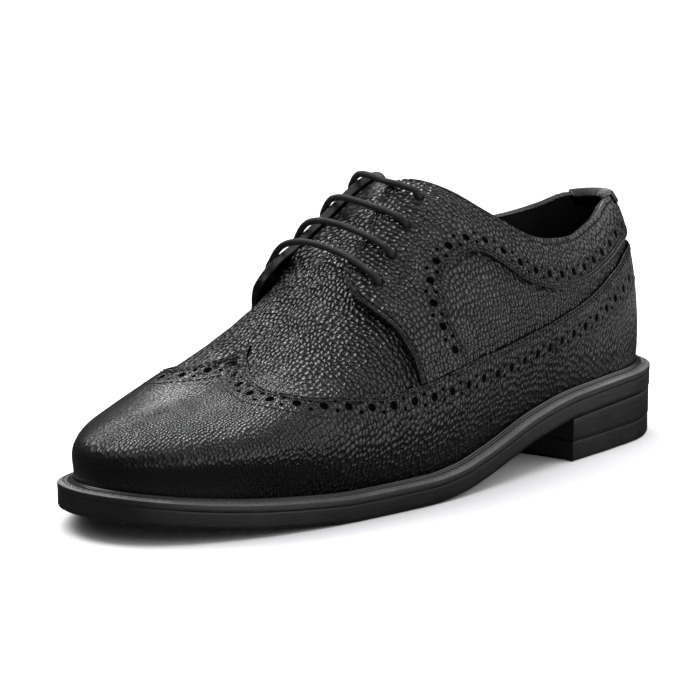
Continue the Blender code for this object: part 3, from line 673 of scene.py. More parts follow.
def pebble_leather(name, cell, depth, rough, coat, tone, flat=True):
    """Pebble-grained leather: rounded domes with narrow grooves between, flatter at the heel and finer
    and flatter on the toe. Flat leather follows the sheet that its mesh holds, other leather its place."""
    material, tree, shader = start_material(name)
    links = tree.links
    vector = mapped(tree, (1.0, 1.0, 1.0), (0.35, 0.2, 0.5))
    broad = noise(tree, vector, 110.0, 3.0)
    fine = noise(tree, vector, 2400.0, 2.0)
    place = tree.nodes.new("ShaderNodeTexCoord")
    parts = tree.nodes.new("ShaderNodeSeparateXYZ")
    links.new(place.outputs["Object"], parts.inputs["Vector"])
    if flat:
        sheet = tree.nodes.new("ShaderNodeAttribute")
        sheet.attribute_name = "grain"
        vector = sheet.outputs["Vector"]
    warp = tree.nodes.new("ShaderNodeTexNoise")
    warp.inputs["Scale"].default_value = 90.0
    warp.inputs["Detail"].default_value = 1.0
    links.new(vector, warp.inputs["Vector"])
    shifted = tree.nodes.new("ShaderNodeMix")
    shifted.data_type = "VECTOR"
    shifted.inputs[0].default_value = PEBBLE_WARP
    links.new(vector, shifted.inputs[4])
    links.new(warp.outputs["Color"], shifted.inputs[5])
    dome, top = pebbles(tree, shifted.outputs[1], cell, flat)
    low_toe = math(tree, "MULTIPLY", ranged(tree, parts.outputs["Y"], -0.125, -0.085, 1.0, 0.0),
                   ranged(tree, parts.outputs["Z"], 0.020, 0.040, 1.0, 0.0))
    toe = ranged(tree, parts.outputs["Y"], -0.105, -0.060, 1.0, 0.0)
    if flat:
        small_dome, small_top = pebbles(tree, shifted.outputs[1], TOE_GRAIN * cell, flat)
        dome, top = blend(tree, toe, dome, small_dome), blend(tree, toe, top, small_top)
    crown = math(tree, "MULTIPLY", toe, ranged(tree, parts.outputs["X"], -0.018, 0.008, 1.0, 0.0))
    heel = ranged(tree, parts.outputs["Y"], 0.030, 0.115, 0.0, 1.0)
    strength = ranged(tree, low_toe, 0.0, 1.0, 1.0, LOW_TOE_RELIEF)
    for mask, left in ((heel, HEEL_RELIEF), (crown, CROWN_RELIEF)):
        strength = math(tree, "MULTIPLY", strength, ranged(tree, mask, 0.0, 1.0, 1.0, left))
    strength = math(tree, "MULTIPLY", strength, ranged(tree, broad, 0.3, 0.7, 0.80, 1.12))
    if flat:
        face = tree.nodes.new("ShaderNodeSeparateXYZ")
        links.new(sheet.outputs["Vector"], face.inputs["Vector"])
        strength = math(tree, "MULTIPLY", strength, face.outputs["Z"])
    relief = math(tree, "MULTIPLY", math(tree, "MULTIPLY", dome, strength),
                  ranged(tree, toe, 0.0, 1.0, 1.0, TOE_RELIEF))
    height = math(tree, "ADD", relief, math(tree, "MULTIPLY", fine, 0.015))
    normal = bump(tree, height, 1.0, depth)
    links.new(normal, shader.inputs["Normal"])
    links.new(normal, shader.inputs["Coat Normal"])
    # painted shade: the base colour drops to a third of the tone in the grooves between pebbles, where shade
    # falls
    links.new(blend_colours(tree, top, tuple(0.35 * t for t in tone), tone), shader.inputs["Base Color"])
    links.new(ranged(tree, broad, 0.3, 0.7, 0.50, 0.60), shader.inputs["Roughness"])
    # painted shade: the coat thins in the grooves, so they reflect less, as shade would darken them
    groove_shade = math(tree, "MULTIPLY", math(tree, "SUBTRACT", 1.0, top), strength)
    links.new(math(tree, "MULTIPLY", math(tree, "SUBTRACT", 1.0, math(tree, "MINIMUM", groove_shade, 0.92)), coat),
              shader.inputs["Coat Weight"])
    shader.inputs["Coat Roughness"].default_value = rough
    shader.inputs["Specular IOR Level"].default_value = 0.10
    return material


def satin(name, tone, rough, line_scale=900.0, line_depth=0.00002, grit=0.00006, coat=0.0, shine=0.5):
    """A smooth inked surface with fine level lines and a little grit."""
    material, tree, shader = start_material(name)
    vector = mapped(tree, (1.0, 1.0, 1.0))
    stretched = mapped(tree, (0.06, 0.06, 1.0))
    lines = noise(tree, stretched, line_scale, 2.0, 0.7)
    fine = noise(tree, vector, 1500.0, 2.0)
    first = bump(tree, lines, 1.0, line_depth)
    tree.links.new(bump(tree, fine, 1.0, grit, first), shader.inputs["Normal"])
    broad = noise(tree, vector, 60.0, 4.0)
    tree.links.new(blend_colours(tree, ranged(tree, broad, 0.3, 0.7, 0.0, 1.0), tuple(0.75 * t for t in tone),
                                 tuple(1.25 * t for t in tone)), shader.inputs["Base Color"])
    tree.links.new(math(tree, "ADD", ranged(tree, lines, 0.3, 0.7, rough - 0.06, rough + 0.08),
                        ranged(tree, broad, 0.3, 0.7, -0.04, 0.05)), shader.inputs["Roughness"])
    shader.inputs["Specular IOR Level"].default_value = shine
    shader.inputs["Coat Weight"].default_value = coat
    shader.inputs["Coat Roughness"].default_value = 0.3
    return material


def cloth(name, tone, rough, scale, depth):
    """Fine woven or braided thread."""
    material, tree, shader = start_material(name)
    vector = mapped(tree, (1.0, 1.0, 1.0))
    grain = noise(tree, vector, scale, 3.0, 0.65)
    tree.links.new(bump(tree, grain, 1.0, depth), shader.inputs["Normal"])
    tree.links.new(blend_colours(tree, ranged(tree, grain, 0.3, 0.7, 0.0, 1.0), tuple(0.7 * t for t in tone),
                                 tuple(1.3 * t for t in tone)), shader.inputs["Base Color"])
    tree.links.new(ranged(tree, grain, 0.3, 0.7, rough - 0.08, rough + 0.08), shader.inputs["Roughness"])
    shader.inputs["Specular IOR Level"].default_value = 0.35
    shader.inputs["Sheen Weight"].default_value = 0.03
    shader.inputs["Sheen Roughness"].default_value = 0.5
    return material


LEATHER_TONE = (0.0034, 0.0034, 0.0039)
MATERIALS = {
    "leather": pebble_leather("pebble_leather", 0.00215, 0.00062, 0.24, 1.0, LEATHER_TONE),
    "smooth": pebble_leather("edge_leather", 0.0012, 0.00010, 0.40, 0.8, (0.005, 0.005, 0.0055), False),
    # black for hole floors and the wing's cut edge: painted shade in the holes, and on the cut edge painted
    # shade over its own black ink
    "dark": satin("hole_shadow", (0.0008, 0.0008, 0.0008), 0.95, grit=0.00002, shine=0.05),
    "lining": satin("lining_leather", (0.0055, 0.0055, 0.006), 0.68, grit=0.00005, shine=0.25),
    "sole_edge": satin("inked_edge", (0.0065, 0.0065, 0.007), 0.42, 1400.0, 0.00007, shine=0.45),
    "bead": satin("welt_bead", (0.010, 0.010, 0.0105), 0.32, 700.0, 0.00003, 0.00008, coat=0.2),
    # light grey welt band: partly worn leather, partly a painted highlight standing in for the overhead
    # light's gloss on its upward face
    "welt": satin("welt_leather", (0.145, 0.143, 0.141), 0.45, 500.0, 0.00004, 0.00035, coat=0.3),
    "top_lift": satin("rubber_lift", (0.0075, 0.0075, 0.008), 0.55, 700.0, 0.00003),
    "bottom": satin("sole_bottom_leather", (0.012, 0.0115, 0.011), 0.55, 500.0, 0.00004, 0.00012),
    "thread": cloth("stitching_thread", (0.006, 0.006, 0.0065), 0.45, 3500.0, 0.00008),
    "welt_thread": cloth("welt_thread", (0.085, 0.082, 0.080), 0.42, 2500.0, 0.00012),
    "lace": cloth("lace_cord", (0.0040, 0.0040, 0.0046), 0.62, 3000.0, 0.00016),
}


# Grain laid out flat


def last_grid(columns, rows):
    """Stations, closer together at heel and toe, and even girths."""
    stations = 0.5 - 0.5 * np.cos(pi * np.linspace(0.0, 1.0, columns))
    return np.meshgrid(stations, np.linspace(0.0, 1.0, rows), indexing="ij")


def flat_pattern(columns=64, rows=30, rounds=1200):
    """The upper laid flat: where places on the last lie in a sheet that keeps its lengths, cut open at
    the heel. It starts as ribs spread out from the ridge, and springs between near places even it out."""
    a, v = last_grid(columns, rows)
    index = {1: np.arange(columns * rows).reshape(columns, rows)}
    index[-1] = index[1] + columns * rows
    index[-1][:, -1], index[-1][-1] = index[1][:, -1], index[1][-1]
    flat = np.zeros((2 * columns * rows, 2))
    firsts, seconds, rests, weights = [], [], [], []
    for side in (-1, 1):
        solid = last_point(side, a, v)
        step = np.linalg.norm(np.diff(solid[:, ::-1], axis=1), axis=2)
        girth = np.concatenate([np.zeros((columns, 1)), np.cumsum(step, axis=1)], axis=1)[:, ::-1]
        spine = run_length(solid[:, -1])
        way = (solid[:, 0] - solid[:, -1])[:, :2]
        way /= np.linalg.norm(way, axis=1)[:, None]
        flat[index[side]] = way[:, None, :] * girth[..., None]
        flat[index[side], 1] += spine[:, None]
        open_part = (v > top_girth(side, a) + 0.02) & (a < THROAT_END)
        for first, second in (((slice(None, -1), slice(None)), (slice(1, None), slice(None))),
                              ((slice(None), slice(None, -1)), (slice(None), slice(1, None))),
                              ((slice(None, -1), slice(None, -1)), (slice(1, None), slice(1, None))),
                              ((slice(1, None), slice(None, -1)), (slice(None, -1), slice(1, None)))):
            firsts.append(index[side][first].ravel())
            seconds.append(index[side][second].ravel())
            rests.append(np.linalg.norm(solid[second] - solid[first], axis=-1).ravel())
            weights.append(np.where(open_part[first] | open_part[second], 0.02, 1.0).ravel())
    firsts, seconds = np.concatenate(firsts), np.concatenate(seconds)
    rests, weights = np.concatenate(rests), np.concatenate(weights)
    total = np.bincount(firsts, weights, len(flat)) + np.bincount(seconds, weights, len(flat)) + 1e-9
    for _ in range(rounds):
        between = flat[seconds] - flat[firsts]
        length = np.linalg.norm(between, axis=1) + 1e-9
        pull = between * (weights * (length - rests) / length)[:, None]
        for k in (0, 1):
            flat[:, k] += 0.5 * (np.bincount(firsts, pull[:, k], len(flat))
                                 - np.bincount(seconds, pull[:, k], len(flat))) / total
    return {side: flat[index[side]] for side in (1, -1)}


def last_samples(columns=170, rows=80):
    """Places all over the last as (side, station, girth), and a tree to find the nearest one."""
    a, v = last_grid(columns, rows)
    places = [np.stack([np.full(a.size, side), a.ravel(), v.ravel()], axis=1) for side in (1, -1)]
    points = [last_point(side, a, v).reshape(-1, 3) for side in (1, -1)]
    return np.vstack(places), tree_of(np.vstack(points))


def lay_grain(mesh):
    """Gives each corner of a leather mesh its place in the flat sheet, for the grain to follow, and how
    far it faces outward, so that the grain fades on walls and rims."""
    points = np.empty(len(mesh.vertices) * 3)
    mesh.vertices.foreach_get("co", points)
    points = points.reshape(-1, 3)
    points = np.stack([points[:, 0] + CENTRE_X, CENTRE_Y - points[:, 1], points[:, 2]], axis=1)
    places, tree = SAMPLES
    near = places[[tree.find(point)[1] for point in points]]
    normals = np.empty(len(points) * 3)
    mesh.vertices.foreach_get("normal", normals)
    normals = normals.reshape(-1, 3) * (1.0, -1.0, 1.0)
    grain = np.zeros((len(points), 3))
    for side in (1, -1):
        own = near[:, 0] == side
        a, v = near[own, 1], near[own, 2]
        for _ in range(3):
            a, v = towards_place(side, a, v, points[own])
        pattern = PATTERN[side]
        x = np.arccos(1.0 - 2.0 * a) / pi * (pattern.shape[0] - 1)
        y = v * (pattern.shape[1] - 1)
        i = np.clip(x.astype(int), 0, pattern.shape[0] - 2)
        j = np.clip(y.astype(int), 0, pattern.shape[1] - 2)
        s, t = (x - i)[:, None], (y - j)[:, None]
        grain[own, :2] = ((1 - s) * (1 - t) * pattern[i, j] + s * (1 - t) * pattern[i + 1, j]
                          + (1 - s) * t * pattern[i, j + 1] + s * t * pattern[i + 1, j + 1])
        facing = np.abs(np.sum(normals[own] * last_normal(side, a, v), axis=1))
        grain[own, 2] = smooth((facing - 0.55) / 0.35)
    mesh.attributes.new("grain", "FLOAT_VECTOR", "POINT").data.foreach_set("vector", grain.ravel())


PATTERN = flat_pattern()
SAMPLES = last_samples()


# Meshes


def linked(name, data):
    made = bpy.data.objects.new(name, data)
    bpy.context.scene.collection.objects.link(made)
    return made


def make_object(name, vertices, faces, material, weld=True):
    mesh = bpy.data.meshes.new(name)
    mesh.from_pydata(vertices.tolist(), [], faces)
    if weld:
        builder = bmesh.new()
        builder.from_mesh(mesh)
        bmesh.ops.remove_doubles(builder, verts=builder.verts[:], dist=WELD)
        builder.to_mesh(mesh)
        builder.free()
    mesh.materials.append(MATERIALS[material])
    if material == "leather":
        lay_grain(mesh)
    mesh.shade_smooth()
    made = linked(name, mesh)
    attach(made, "root")
    return made


def grid_indices(rows, columns, start=0, flip=False):
    index = start + np.arange(rows * columns).reshape(rows, columns)
    a, b = index[:-1, :-1].ravel(), index[:-1, 1:].ravel()
    c, d = index[1:, 1:].ravel(), index[1:, :-1].ravel()
    quads = np.stack([a, b, c, d] if not flip else [d, c, b, a], axis=-1)
    return quads.tolist()


def sheet_object(name, grids, material, weld=True):
    """One object from grids of points, each with whether its faces are turned over."""
    vertices, faces = [], []
    start = 0
    for points, flip in grids:
        points = placed(points)
        vertices.append(points.reshape(-1, 3))
        faces += grid_indices(points.shape[0], points.shape[1], start, flip)
        start += points.shape[0] * points.shape[1]
    return make_object(name, np.vstack(vertices), faces, material, weld)


def rounded(distance, radius):
    """How far a surface drops near a rounded edge."""
    inside = np.clip(radius - distance, 0.0, radius)
    return radius - np.sqrt(np.maximum(radius ** 2 - inside ** 2, 0.0))


def groove(distance, centre, width, depth):
    return depth * np.exp(-((distance - centre) / width) ** 2)


def dimple(points, centres, radius, depth):
    """How far a panel's grid is pushed in under round holes, whose own punched rims cover it."""
    away = distances(tree_of(centres), points)
    return depth * smooth((radius + 0.00036 - away) / 0.00022)


def walk(points, pitch):
    """Places at an even pitch along a polyline, as indexes that fall between its points."""
    run = run_length(points)
    count = max(1, int(run[-1] / pitch))
    at = (np.arange(count) + 0.5) * run[-1] / count
    return np.interp(at, run, np.arange(len(points)))


def capsule_template(sides=6):
    """A stitch lying along X, one long and one in radius."""
    rings = ((-0.50, 0.35), (-0.36, 0.85), (0.0, 1.0), (0.36, 0.85), (0.50, 0.35))
    points = []
    for along, width in rings:
        for k in range(sides):
            angle = 2 * pi * k / sides
            points.append((along, width * np.cos(angle), width * np.sin(angle)))
    faces = []
    for r in range(len(rings) - 1):
        for k in range(sides):
            j = (k + 1) % sides
            faces.append((r * sides + k, r * sides + j, (r + 1) * sides + j, (r + 1) * sides + k))
    faces.append(tuple(range(sides))[::-1])
    last = (len(rings) - 1) * sides
    faces.append(tuple(range(last, last + sides)))
    return np.array(points), faces


CAPSULE, CAPSULE_FACES = capsule_template()


def thread_objects(name, places, radius, length, material):
    """Short stitches as small capsules: each place is (point, direction, normal)."""
    vertices, faces = [], []
    for i, (point, direction, normal) in enumerate(places):
        direction = direction / np.linalg.norm(direction)
        across = np.cross(normal, direction)
        across /= np.linalg.norm(across)
        normal = np.cross(direction, across)
        local = CAPSULE * np.array([length, radius, radius])
        vertices.append(point + local @ np.stack([direction, across, normal]))
        faces += [tuple(i * len(CAPSULE) + k for k in face) for face in CAPSULE_FACES]
    return make_object(name, placed(np.vstack(vertices)), faces, material, weld=False)


def stitch_places(side, station, girth, offset, pitch=STITCH_PITCH):
    """Stitches along a line on the last, lying on a panel at an offset."""
    if len(station) < 4:
        return []

    def line_at(place):
        index = np.arange(len(station))
        return np.interp(place, index, station), np.interp(place, index, girth)

    middle = walk(last_point(side, station, girth), pitch)
    a, v = line_at(middle)
    lift = offset(a, v) if callable(offset) else offset
    here = on_last(side, a, v, lift)
    ahead = last_point(side, *line_at(np.minimum(middle + 0.4, len(station) - 1.0)))
    behind = last_point(side, *line_at(np.maximum(middle - 0.4, 0.0)))
    return list(zip(here, ahead - behind, last_normal(side, a, v)))


# Panels


def wing_table(count):
    """The wing's columns at an even closeness, with the same four numbers as its rows."""
    index = np.arange(len(WING), dtype=float)
    table = np.array(WING)
    fine = np.linspace(0.0, len(WING) - 1.0, 60 * len(WING))
    columns = np.stack([hermite(index, table[:, k], fine) for k in range(4)], axis=-1)
    edge = last_point(1, columns[:, 1], columns[:, 2])
    foot = last_point(1, columns[:, 0], np.zeros(len(fine)))
    step = np.maximum(*(np.linalg.norm(np.diff(line, axis=0), axis=1) for line in (edge, foot)))
    run = np.concatenate([[0.0], np.cumsum(step)])
    even = np.interp(np.linspace(0.0, run[-1], count), run, fine)
    even[int(np.argmin(np.abs(even - PEAK_ROW)))] = PEAK_ROW
    columns = np.stack([hermite(index, table[:, k], even) for k in range(4)], axis=-1)
    columns[:, 3] = np.where(columns[:, 2] > EDGE_END, columns[:, 1], columns[:, 3])
    columns[-1] = (1.0, 1.0, 1.0, 1.0)
    return columns


def wing_grid(columns, shares):
    shares = np.asarray(shares)[None, :]
    station = columns[:, 0:1] + (columns[:, 1:2] - columns[:, 0:1]) * shares ** 4.0
    return station, columns[:, 2:3] * shares


def above_wing(side, columns, shares):
    """Places from the wing's edge up to the top line."""
    shares = shares[None, :]
    station = columns[:, 1:2] + (columns[:, 3:4] - columns[:, 1:2]) * shares
    top = top_girth(side, columns[:, 3])[:, None]
    return station, columns[:, 2:3] + (top - columns[:, 2:3]) * shares


def wing_edge():
    columns = wing_table(1400)
    last = int(np.argmax(columns[:, 2] > EDGE_END))
    return columns[:last + 1, 1], columns[:last + 1, 2]


def wall_flare(side, station, girth):
    return throat_flare(side, station, girth) * (1.0 - smooth((station - 0.585) / 0.04))


# Where stitches are, gathered while the panels are made
STITCHES = {"wing": [], "facing": []}


def line_holes(side, station, girth, pitch=HOLE_PITCH):
    """Big holes at a pitch along a line from end to end, and pairs of pin holes between them across it."""
    run = run_length(last_point(side, station, girth))
    count = int(round(run[-1] / pitch))
    index = np.arange(len(station))

    def line_at(place):
        return np.interp(place, index, station), np.interp(place, index, girth)

    big = (side, *line_at(np.interp(np.linspace(0.0, run[-1], count + 1), run, index)))
    between = np.interp((np.arange(count) + 0.5) * run[-1] / count, run, index)
    a, v = line_at(between)
    along = last_point(side, *line_at(between + 0.5)) - last_point(side, *line_at(between - 0.5))
    along /= np.linalg.norm(along, axis=1)[:, None]
    across = np.cross(last_normal(side, a, v), along)
    pins = [crawl(side, a, v, across * way, PIN_SPREAD, 3) for way in (1.0, -1.0)]
    pin = (side, np.concatenate([p[0] for p in pins]), np.concatenate([p[1] for p in pins]))
    return big, pin


def hole_points(holes):
    return np.vstack([last_point(side, a, v) for side, a, v in holes])


def dimples(points, bigs, pins):
    """How far a panel is pushed in under all its holes."""
    return np.maximum(dimple(points, hole_points(bigs), HOLE_RADIUS, HOLE_DEPTH),
                      dimple(points, hole_points(pins), PIN_RADIUS, HOLE_DEPTH))


def trough(distance, centre):
    """The trough that a sewn row lies in."""
    return groove(distance, centre, TROUGH_WIDTH, TROUGH_DEPTH)


def punch(name, groups, lift):
    """Round holes punched through a panel: a thin lip that follows it, a wall, and a dark floor.
    Each group is holes as (side, stations, girths) and the holes' radius."""
    turns = 14
    angle = np.arange(turns) * 2 * pi / turns
    shapes, shape_faces, floors, floor_faces = [], [], [], []
    done = []
    for holes, radius in groups:
        profile = ((radius + 0.00072, -0.00005), (radius + 0.00016, 0.00003), (radius, -0.00003),
                   (radius - 0.00006, -0.00014), (radius - 0.00008, -0.75 * HOLE_DEPTH))
        for side, stations, girths in holes:
            for a, v in zip(stations, girths):
                centre = last_point(side, np.array(a), np.array(v))
                if any(np.linalg.norm(centre - other) < 0.7 * radius for other in done):
                    continue
                done.append(centre)
                normal = last_normal(side, np.array(a), np.array(v))
                first = np.cross(normal, (0.3, 0.1, 1.0) if abs(normal[2]) < 0.8 else (1.0, 0.2, 0.0))
                first /= np.linalg.norm(first)
                second = np.cross(normal, first)
                ways = first * np.cos(angle)[:, None] + second * np.sin(angle)[:, None]
                near_seam = v > 0.96 or a < 0.006
                rings = []
                for reach, height in profile:
                    if near_seam:
                        raised = height + float(lift(side, np.array(a), np.array(v)))
                        flat = centre + ways * reach + normal * raised
                        ring = flat - normal * (0.5 * reach ** 2 / SEAM_RADIUS)
                    else:
                        aa, vv = crawl(side, np.full(turns, a), np.full(turns, v), ways, reach, 2)
                        ring = on_last(side, aa, vv, lift(side, aa, vv) + height)
                    rings.append(np.vstack([ring, ring[:1]]))
                start = sum(len(part) for part in shapes)
                shapes.append(np.array(rings).reshape(-1, 3))
                shape_faces += grid_indices(len(rings), turns + 1, start, True)
                start = sum(len(part) for part in floors)
                floors.append(rings[-1][:-1])
                floor_faces.append(tuple(start + k for k in range(turns)))
    make_object(name + "_punched_rims", placed(np.vstack(shapes)), shape_faces, "leather")
    # the hole floors are dark sheets painted black as the shade inside each hole
    make_object(name + "_hole_floors", placed(np.vstack(floors)), floor_faces, "dark", weld=False)


def make_wing():
    columns = wing_table(620)
    bands = np.concatenate([np.linspace(0.0, 0.62, 20)[:-1] ** 1.15, np.linspace(0.62 ** 1.15, 1.0, 34)])
    a, v = wing_edge()
    edges = {side: last_point(side, a, v) for side in (1, -1)}
    bigs, pins = [], []
    for side in (1, -1):
        towards, other = -side, edges[-side][-500:]
        offset = through(WING_HOLES, a, 1) * 1e-3
        ha, hv = to_seams(*edge_offset(side, a, v, offset, towards, other))
        big, pin = line_holes(side, ha, hv)
        bigs.append(big)
        pins.append(pin)
        for reach in (*WING_ROWS, offset + BEYOND_HOLES):
            sa, sv = edge_offset(side, a, v, reach, towards, other)
            STITCHES["wing"] += stitch_places(side, sa, sv, 0.00004)
    edge_tree = tree_of(np.vstack([edges[1], edges[-1]]))
    peak = int(np.argmax(columns[:, 2] > EDGE_END)) + 1
    grids, cuts = [], []
    for side in (1, -1):
        station, girth = wing_grid(columns, bands)
        base = last_point(side, station, girth)
        away = distances(edge_tree, base)
        drop = rounded(away, 0.00045)
        drop += trough(away, WING_ROWS[0]) + trough(away, WING_ROWS[1])
        drop += dimples(base, bigs, pins)
        grids.append((on_last(side, station, girth, -drop), side > 0))
        station, girth = columns[:peak, 1], columns[:peak, 2]
        under_station, under_girth = wing_grid(columns[:peak], np.array([0.97, 0.90]))
        walls = [on_last(side, station, girth, -depth) for depth in (0.00045, 0.0008, LEATHER + 0.0001)]
        walls += [on_last(side, under_station[:, k], under_girth[:, k], -LEATHER - 0.0001) for k in (0, 1)]
        cuts.append((np.stack(walls, axis=1), side > 0))
    wing = sheet_object("wing_leather", grids, "leather")
    # the cut edge's black is its own ink together with painted shade under the wing's edge
    sheet_object("wing_cut_edge", cuts, "dark")
    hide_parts("wing")
    punch("wing", ((bigs, HOLE_RADIUS), (pins, PIN_RADIUS)), lambda side, a, v: 0.0 * a)


def make_base():
    """Vamp and quarters under the wing and facings, and the lining inside them."""
    columns = wing_table(460)
    grids = []
    for side in (1, -1):
        lower = on_last(side, *wing_grid(columns, np.array([0.88, 0.94])), -BASE_DEPTH)
        station, girth = above_wing(side, columns, np.linspace(0.0, 1.0, 46))
        depth = wall_flare(side, station, girth) - BASE_DEPTH - creases(side, station, girth)
        grids.append((np.concatenate([lower, on_last(side, station, girth, depth)], axis=1), side > 0))
    base = sheet_object("vamp_and_quarters", grids, "leather")
    columns = wing_table(300)
    shares = np.linspace(0.0, 1.0, 24)
    grids = []
    for side in (1, -1):
        parts = []
        for station, girth in (wing_grid(columns, shares ** 1.3), above_wing(side, columns, shares[1:])):
            parts.append(on_last(side, station, girth, wall_flare(side, station, girth) - LINING_DEPTH))
        grids.append((np.concatenate(parts, axis=1), side < 0))
    lining = sheet_object("lining", grids, "lining")
    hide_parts("upper")
    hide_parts("upper")


def creases(side, station, girth):
    """Soft troughs that walking has left across the vamp, over the ball of the foot."""
    depth = np.zeros_like(station)
    for line, lean, low, high, width, deep in CREASES:
        centre = line + lean * (1.0 - girth) * (1.0 if side > 0 else 0.7)
        window = smooth((girth - low) / 0.12) * (1.0 - smooth((girth - high) / 0.12))
        ripple = 0.8 + 0.2 * np.sin(girth * 21.0 + line * 90.0)
        depth += deep * window * ripple * np.exp(-((station - centre) / width) ** 2)
    return depth


def resample(rows, count):
    table = np.array(rows, float)
    scale = np.array([LENGTH, 0.45 * LENGTH])
    run = np.concatenate([[0.0], np.cumsum(np.linalg.norm(np.diff(table, axis=0) * scale, axis=1))])
    even = np.linspace(0.0, run[-1], count)
    return np.stack([hermite(run, table[:, k], even, True) for k in (0, 1)], axis=-1)


def facing_offset(side, station, girth):
    front = FRONT_LIFT * smooth((station - 0.565) / 0.05) * smooth((girth - 0.30) / 0.12)
    return FACING_LIFT + throat_flare(side, station, girth) + front


def make_facing(side, name, node_name):
    """The facing with its punched band: a rounded rim at the collar, punched holes and sewn rows."""
    column = 1 if side > 0 else 2
    outer = resample([(row[0], row[column]) for row in TOP_LINE + FRONT_EDGE], 600)
    inner = resample(BAND_EDGE, 600)
    share = np.linspace(0.0, 1.0, 430) ** 1.12
    even = np.linspace(0.0, 1.0, 600)
    picked = []
    for curve, middle in ((outer, 0.53), (inner, 0.58)):
        at = np.interp(share, (0.0, 0.5, 1.0), (0.0, middle, 1.0))
        picked.append(np.stack([np.interp(at, even, curve[:, k]) for k in (0, 1)], axis=-1)[:, None, :])
    rows = np.linspace(0.0, 1.0, 62)[None, :, None]
    places = picked[1] + (picked[0] - picked[1]) * rows
    station, girth = places[..., 0], places[..., 1]
    base = last_point(side, station, girth)
    from_top = distances(tree_of(last_point(side, outer[:, 0], outer[:, 1])), base)
    from_low = distances(tree_of(last_point(side, inner[:, 0], inner[:, 1])), base)
    ha, hv = edge_offset(side, inner[:, 0], inner[:, 1], BAND_HOLES, side)
    band = (ha < 0.5) | (hv > 0.36)
    ha, hv = np.concatenate([[0.0], ha[band]]), np.concatenate([hv[:1], hv[band]])
    big, pin = line_holes(side, ha, hv)

    def lift(a, v):
        return facing_offset(side, a, v)

    front = outer[outer[:, 0] > 0.60]
    for line, distance, towards in ((inner, BAND_ROWS[0], side), (inner, BAND_ROWS[1], side),
                                    (outer, COLLAR_ROW, -side), (front, FRONT_ROW, -side)):
        a, v = edge_offset(side, line[:, 0], line[:, 1], distance, towards)
        STITCHES["facing"] += stitch_places(side, a, v, lift)
    behind = resample(BEHIND_EYELETS, 120)
    shift = 0.0 if side > 0 else -0.06
    STITCHES["facing"] += stitch_places(side, behind[:, 0], behind[:, 1] + shift - 0.02, lift)
    drop = rounded(from_low, 0.0004) + rounded(from_top, 0.0009)
    drop += trough(from_low, BAND_ROWS[0])
    drop += trough(from_low, BAND_ROWS[1])
    drop += trough(from_top, COLLAR_ROW)
    drop += groove(from_top, 0.0034, 0.0009, 0.00010)
    front = smooth((station - 0.598) / 0.012)
    drop += front * (groove(from_top, 0.0019, 0.00045, 0.00030) - groove(from_top, 0.0010, 0.00055, 0.00030))
    drop += dimples(base, [big], [pin])
    eyes = np.array([last_point(side, np.array(row[0]), np.array(row[column])) for row in EYELETS])
    away = distances(tree_of(eyes), base)
    drop += 0.0022 * smooth((0.0019 - away) / 0.0004) - 0.00015 * smooth((0.0034 - away) / 0.001)
    offset = facing_offset(side, station, girth)
    top = on_last(side, station, girth, offset - drop)

    def wall(edge, depths):
        return np.stack([on_last(side, station[:, edge], girth[:, edge], offset[:, edge] - depth)
                         for depth in depths], axis=1)

    foot = wall(0, (LEATHER + 0.0002, 0.0008, 0.0005))
    rim = wall(-1, (0.0009, 0.0016, 0.0026, 0.0032))
    under = on_last(side, station, girth, offset - LEATHER - 0.0001)[:, ::3][:, ::-1]
    points = np.concatenate([foot, top, rim, under], axis=1)
    made = sheet_object(name, [(points, side > 0)], "leather")
    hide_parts(node_name)
    punch(name, (([big], HOLE_RADIUS), ([pin], PIN_RADIUS)), facing_offset)


def make_stitches():
    for name, places in STITCHES.items():
        thread_objects(name + "_stitches", places, THREAD, STITCH, "thread")


def make_tongue():
    stations = np.linspace(TONGUE[0][0], TONGUE[-1][0], 90)
    share = np.linspace(0.0, 1.0, 60)
    grids = []
    for side in (1, -1):
        column = 1 if side > 0 else 2
        low = through(TONGUE, stations, column)[:, None]
        girth = low + (1.0 - low) * share[None, :] ** 0.9
        station = np.broadcast_to(stations[:, None], girth.shape)
        edge = through(TOP_LINE, np.clip(station, 0.0, TOP_LINE[-1][0]), column)
        hidden = smooth((edge - 0.008 - girth) / 0.05)
        middle = smooth((girth - edge) / np.maximum(1.0 - edge, 0.02))
        flare = throat_flare(side, station, girth) * (1.0 - middle) * (1.0 - smooth((station - 0.575) / 0.04))
        open_depth = 0.0037 - 0.0011 * middle
        open_depth = open_depth + (BASE_DEPTH + 0.00005 - open_depth) * smooth((station - 0.565) / 0.03)
        ahead = smooth((station - 0.60) / 0.02)
        closed_depth = 0.0071 * (1.0 - ahead) + 0.0036 * ahead
        depth = flare - open_depth - (closed_depth - open_depth) * hidden
        wave = -creases(side, station, girth) - 0.00003
        top = on_last(side, station, girth, depth + wave)
        under = on_last(side, station, girth, depth - 0.0018)
        grids += [(top, side > 0), (under, side < 0)]
        grids += [(np.stack([top[0], under[0]]), side < 0), (np.stack([top[:, 0], under[:, 0]]), side > 0)]
    tongue = sheet_object("tongue_leather", grids, "leather")
    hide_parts("tongue")


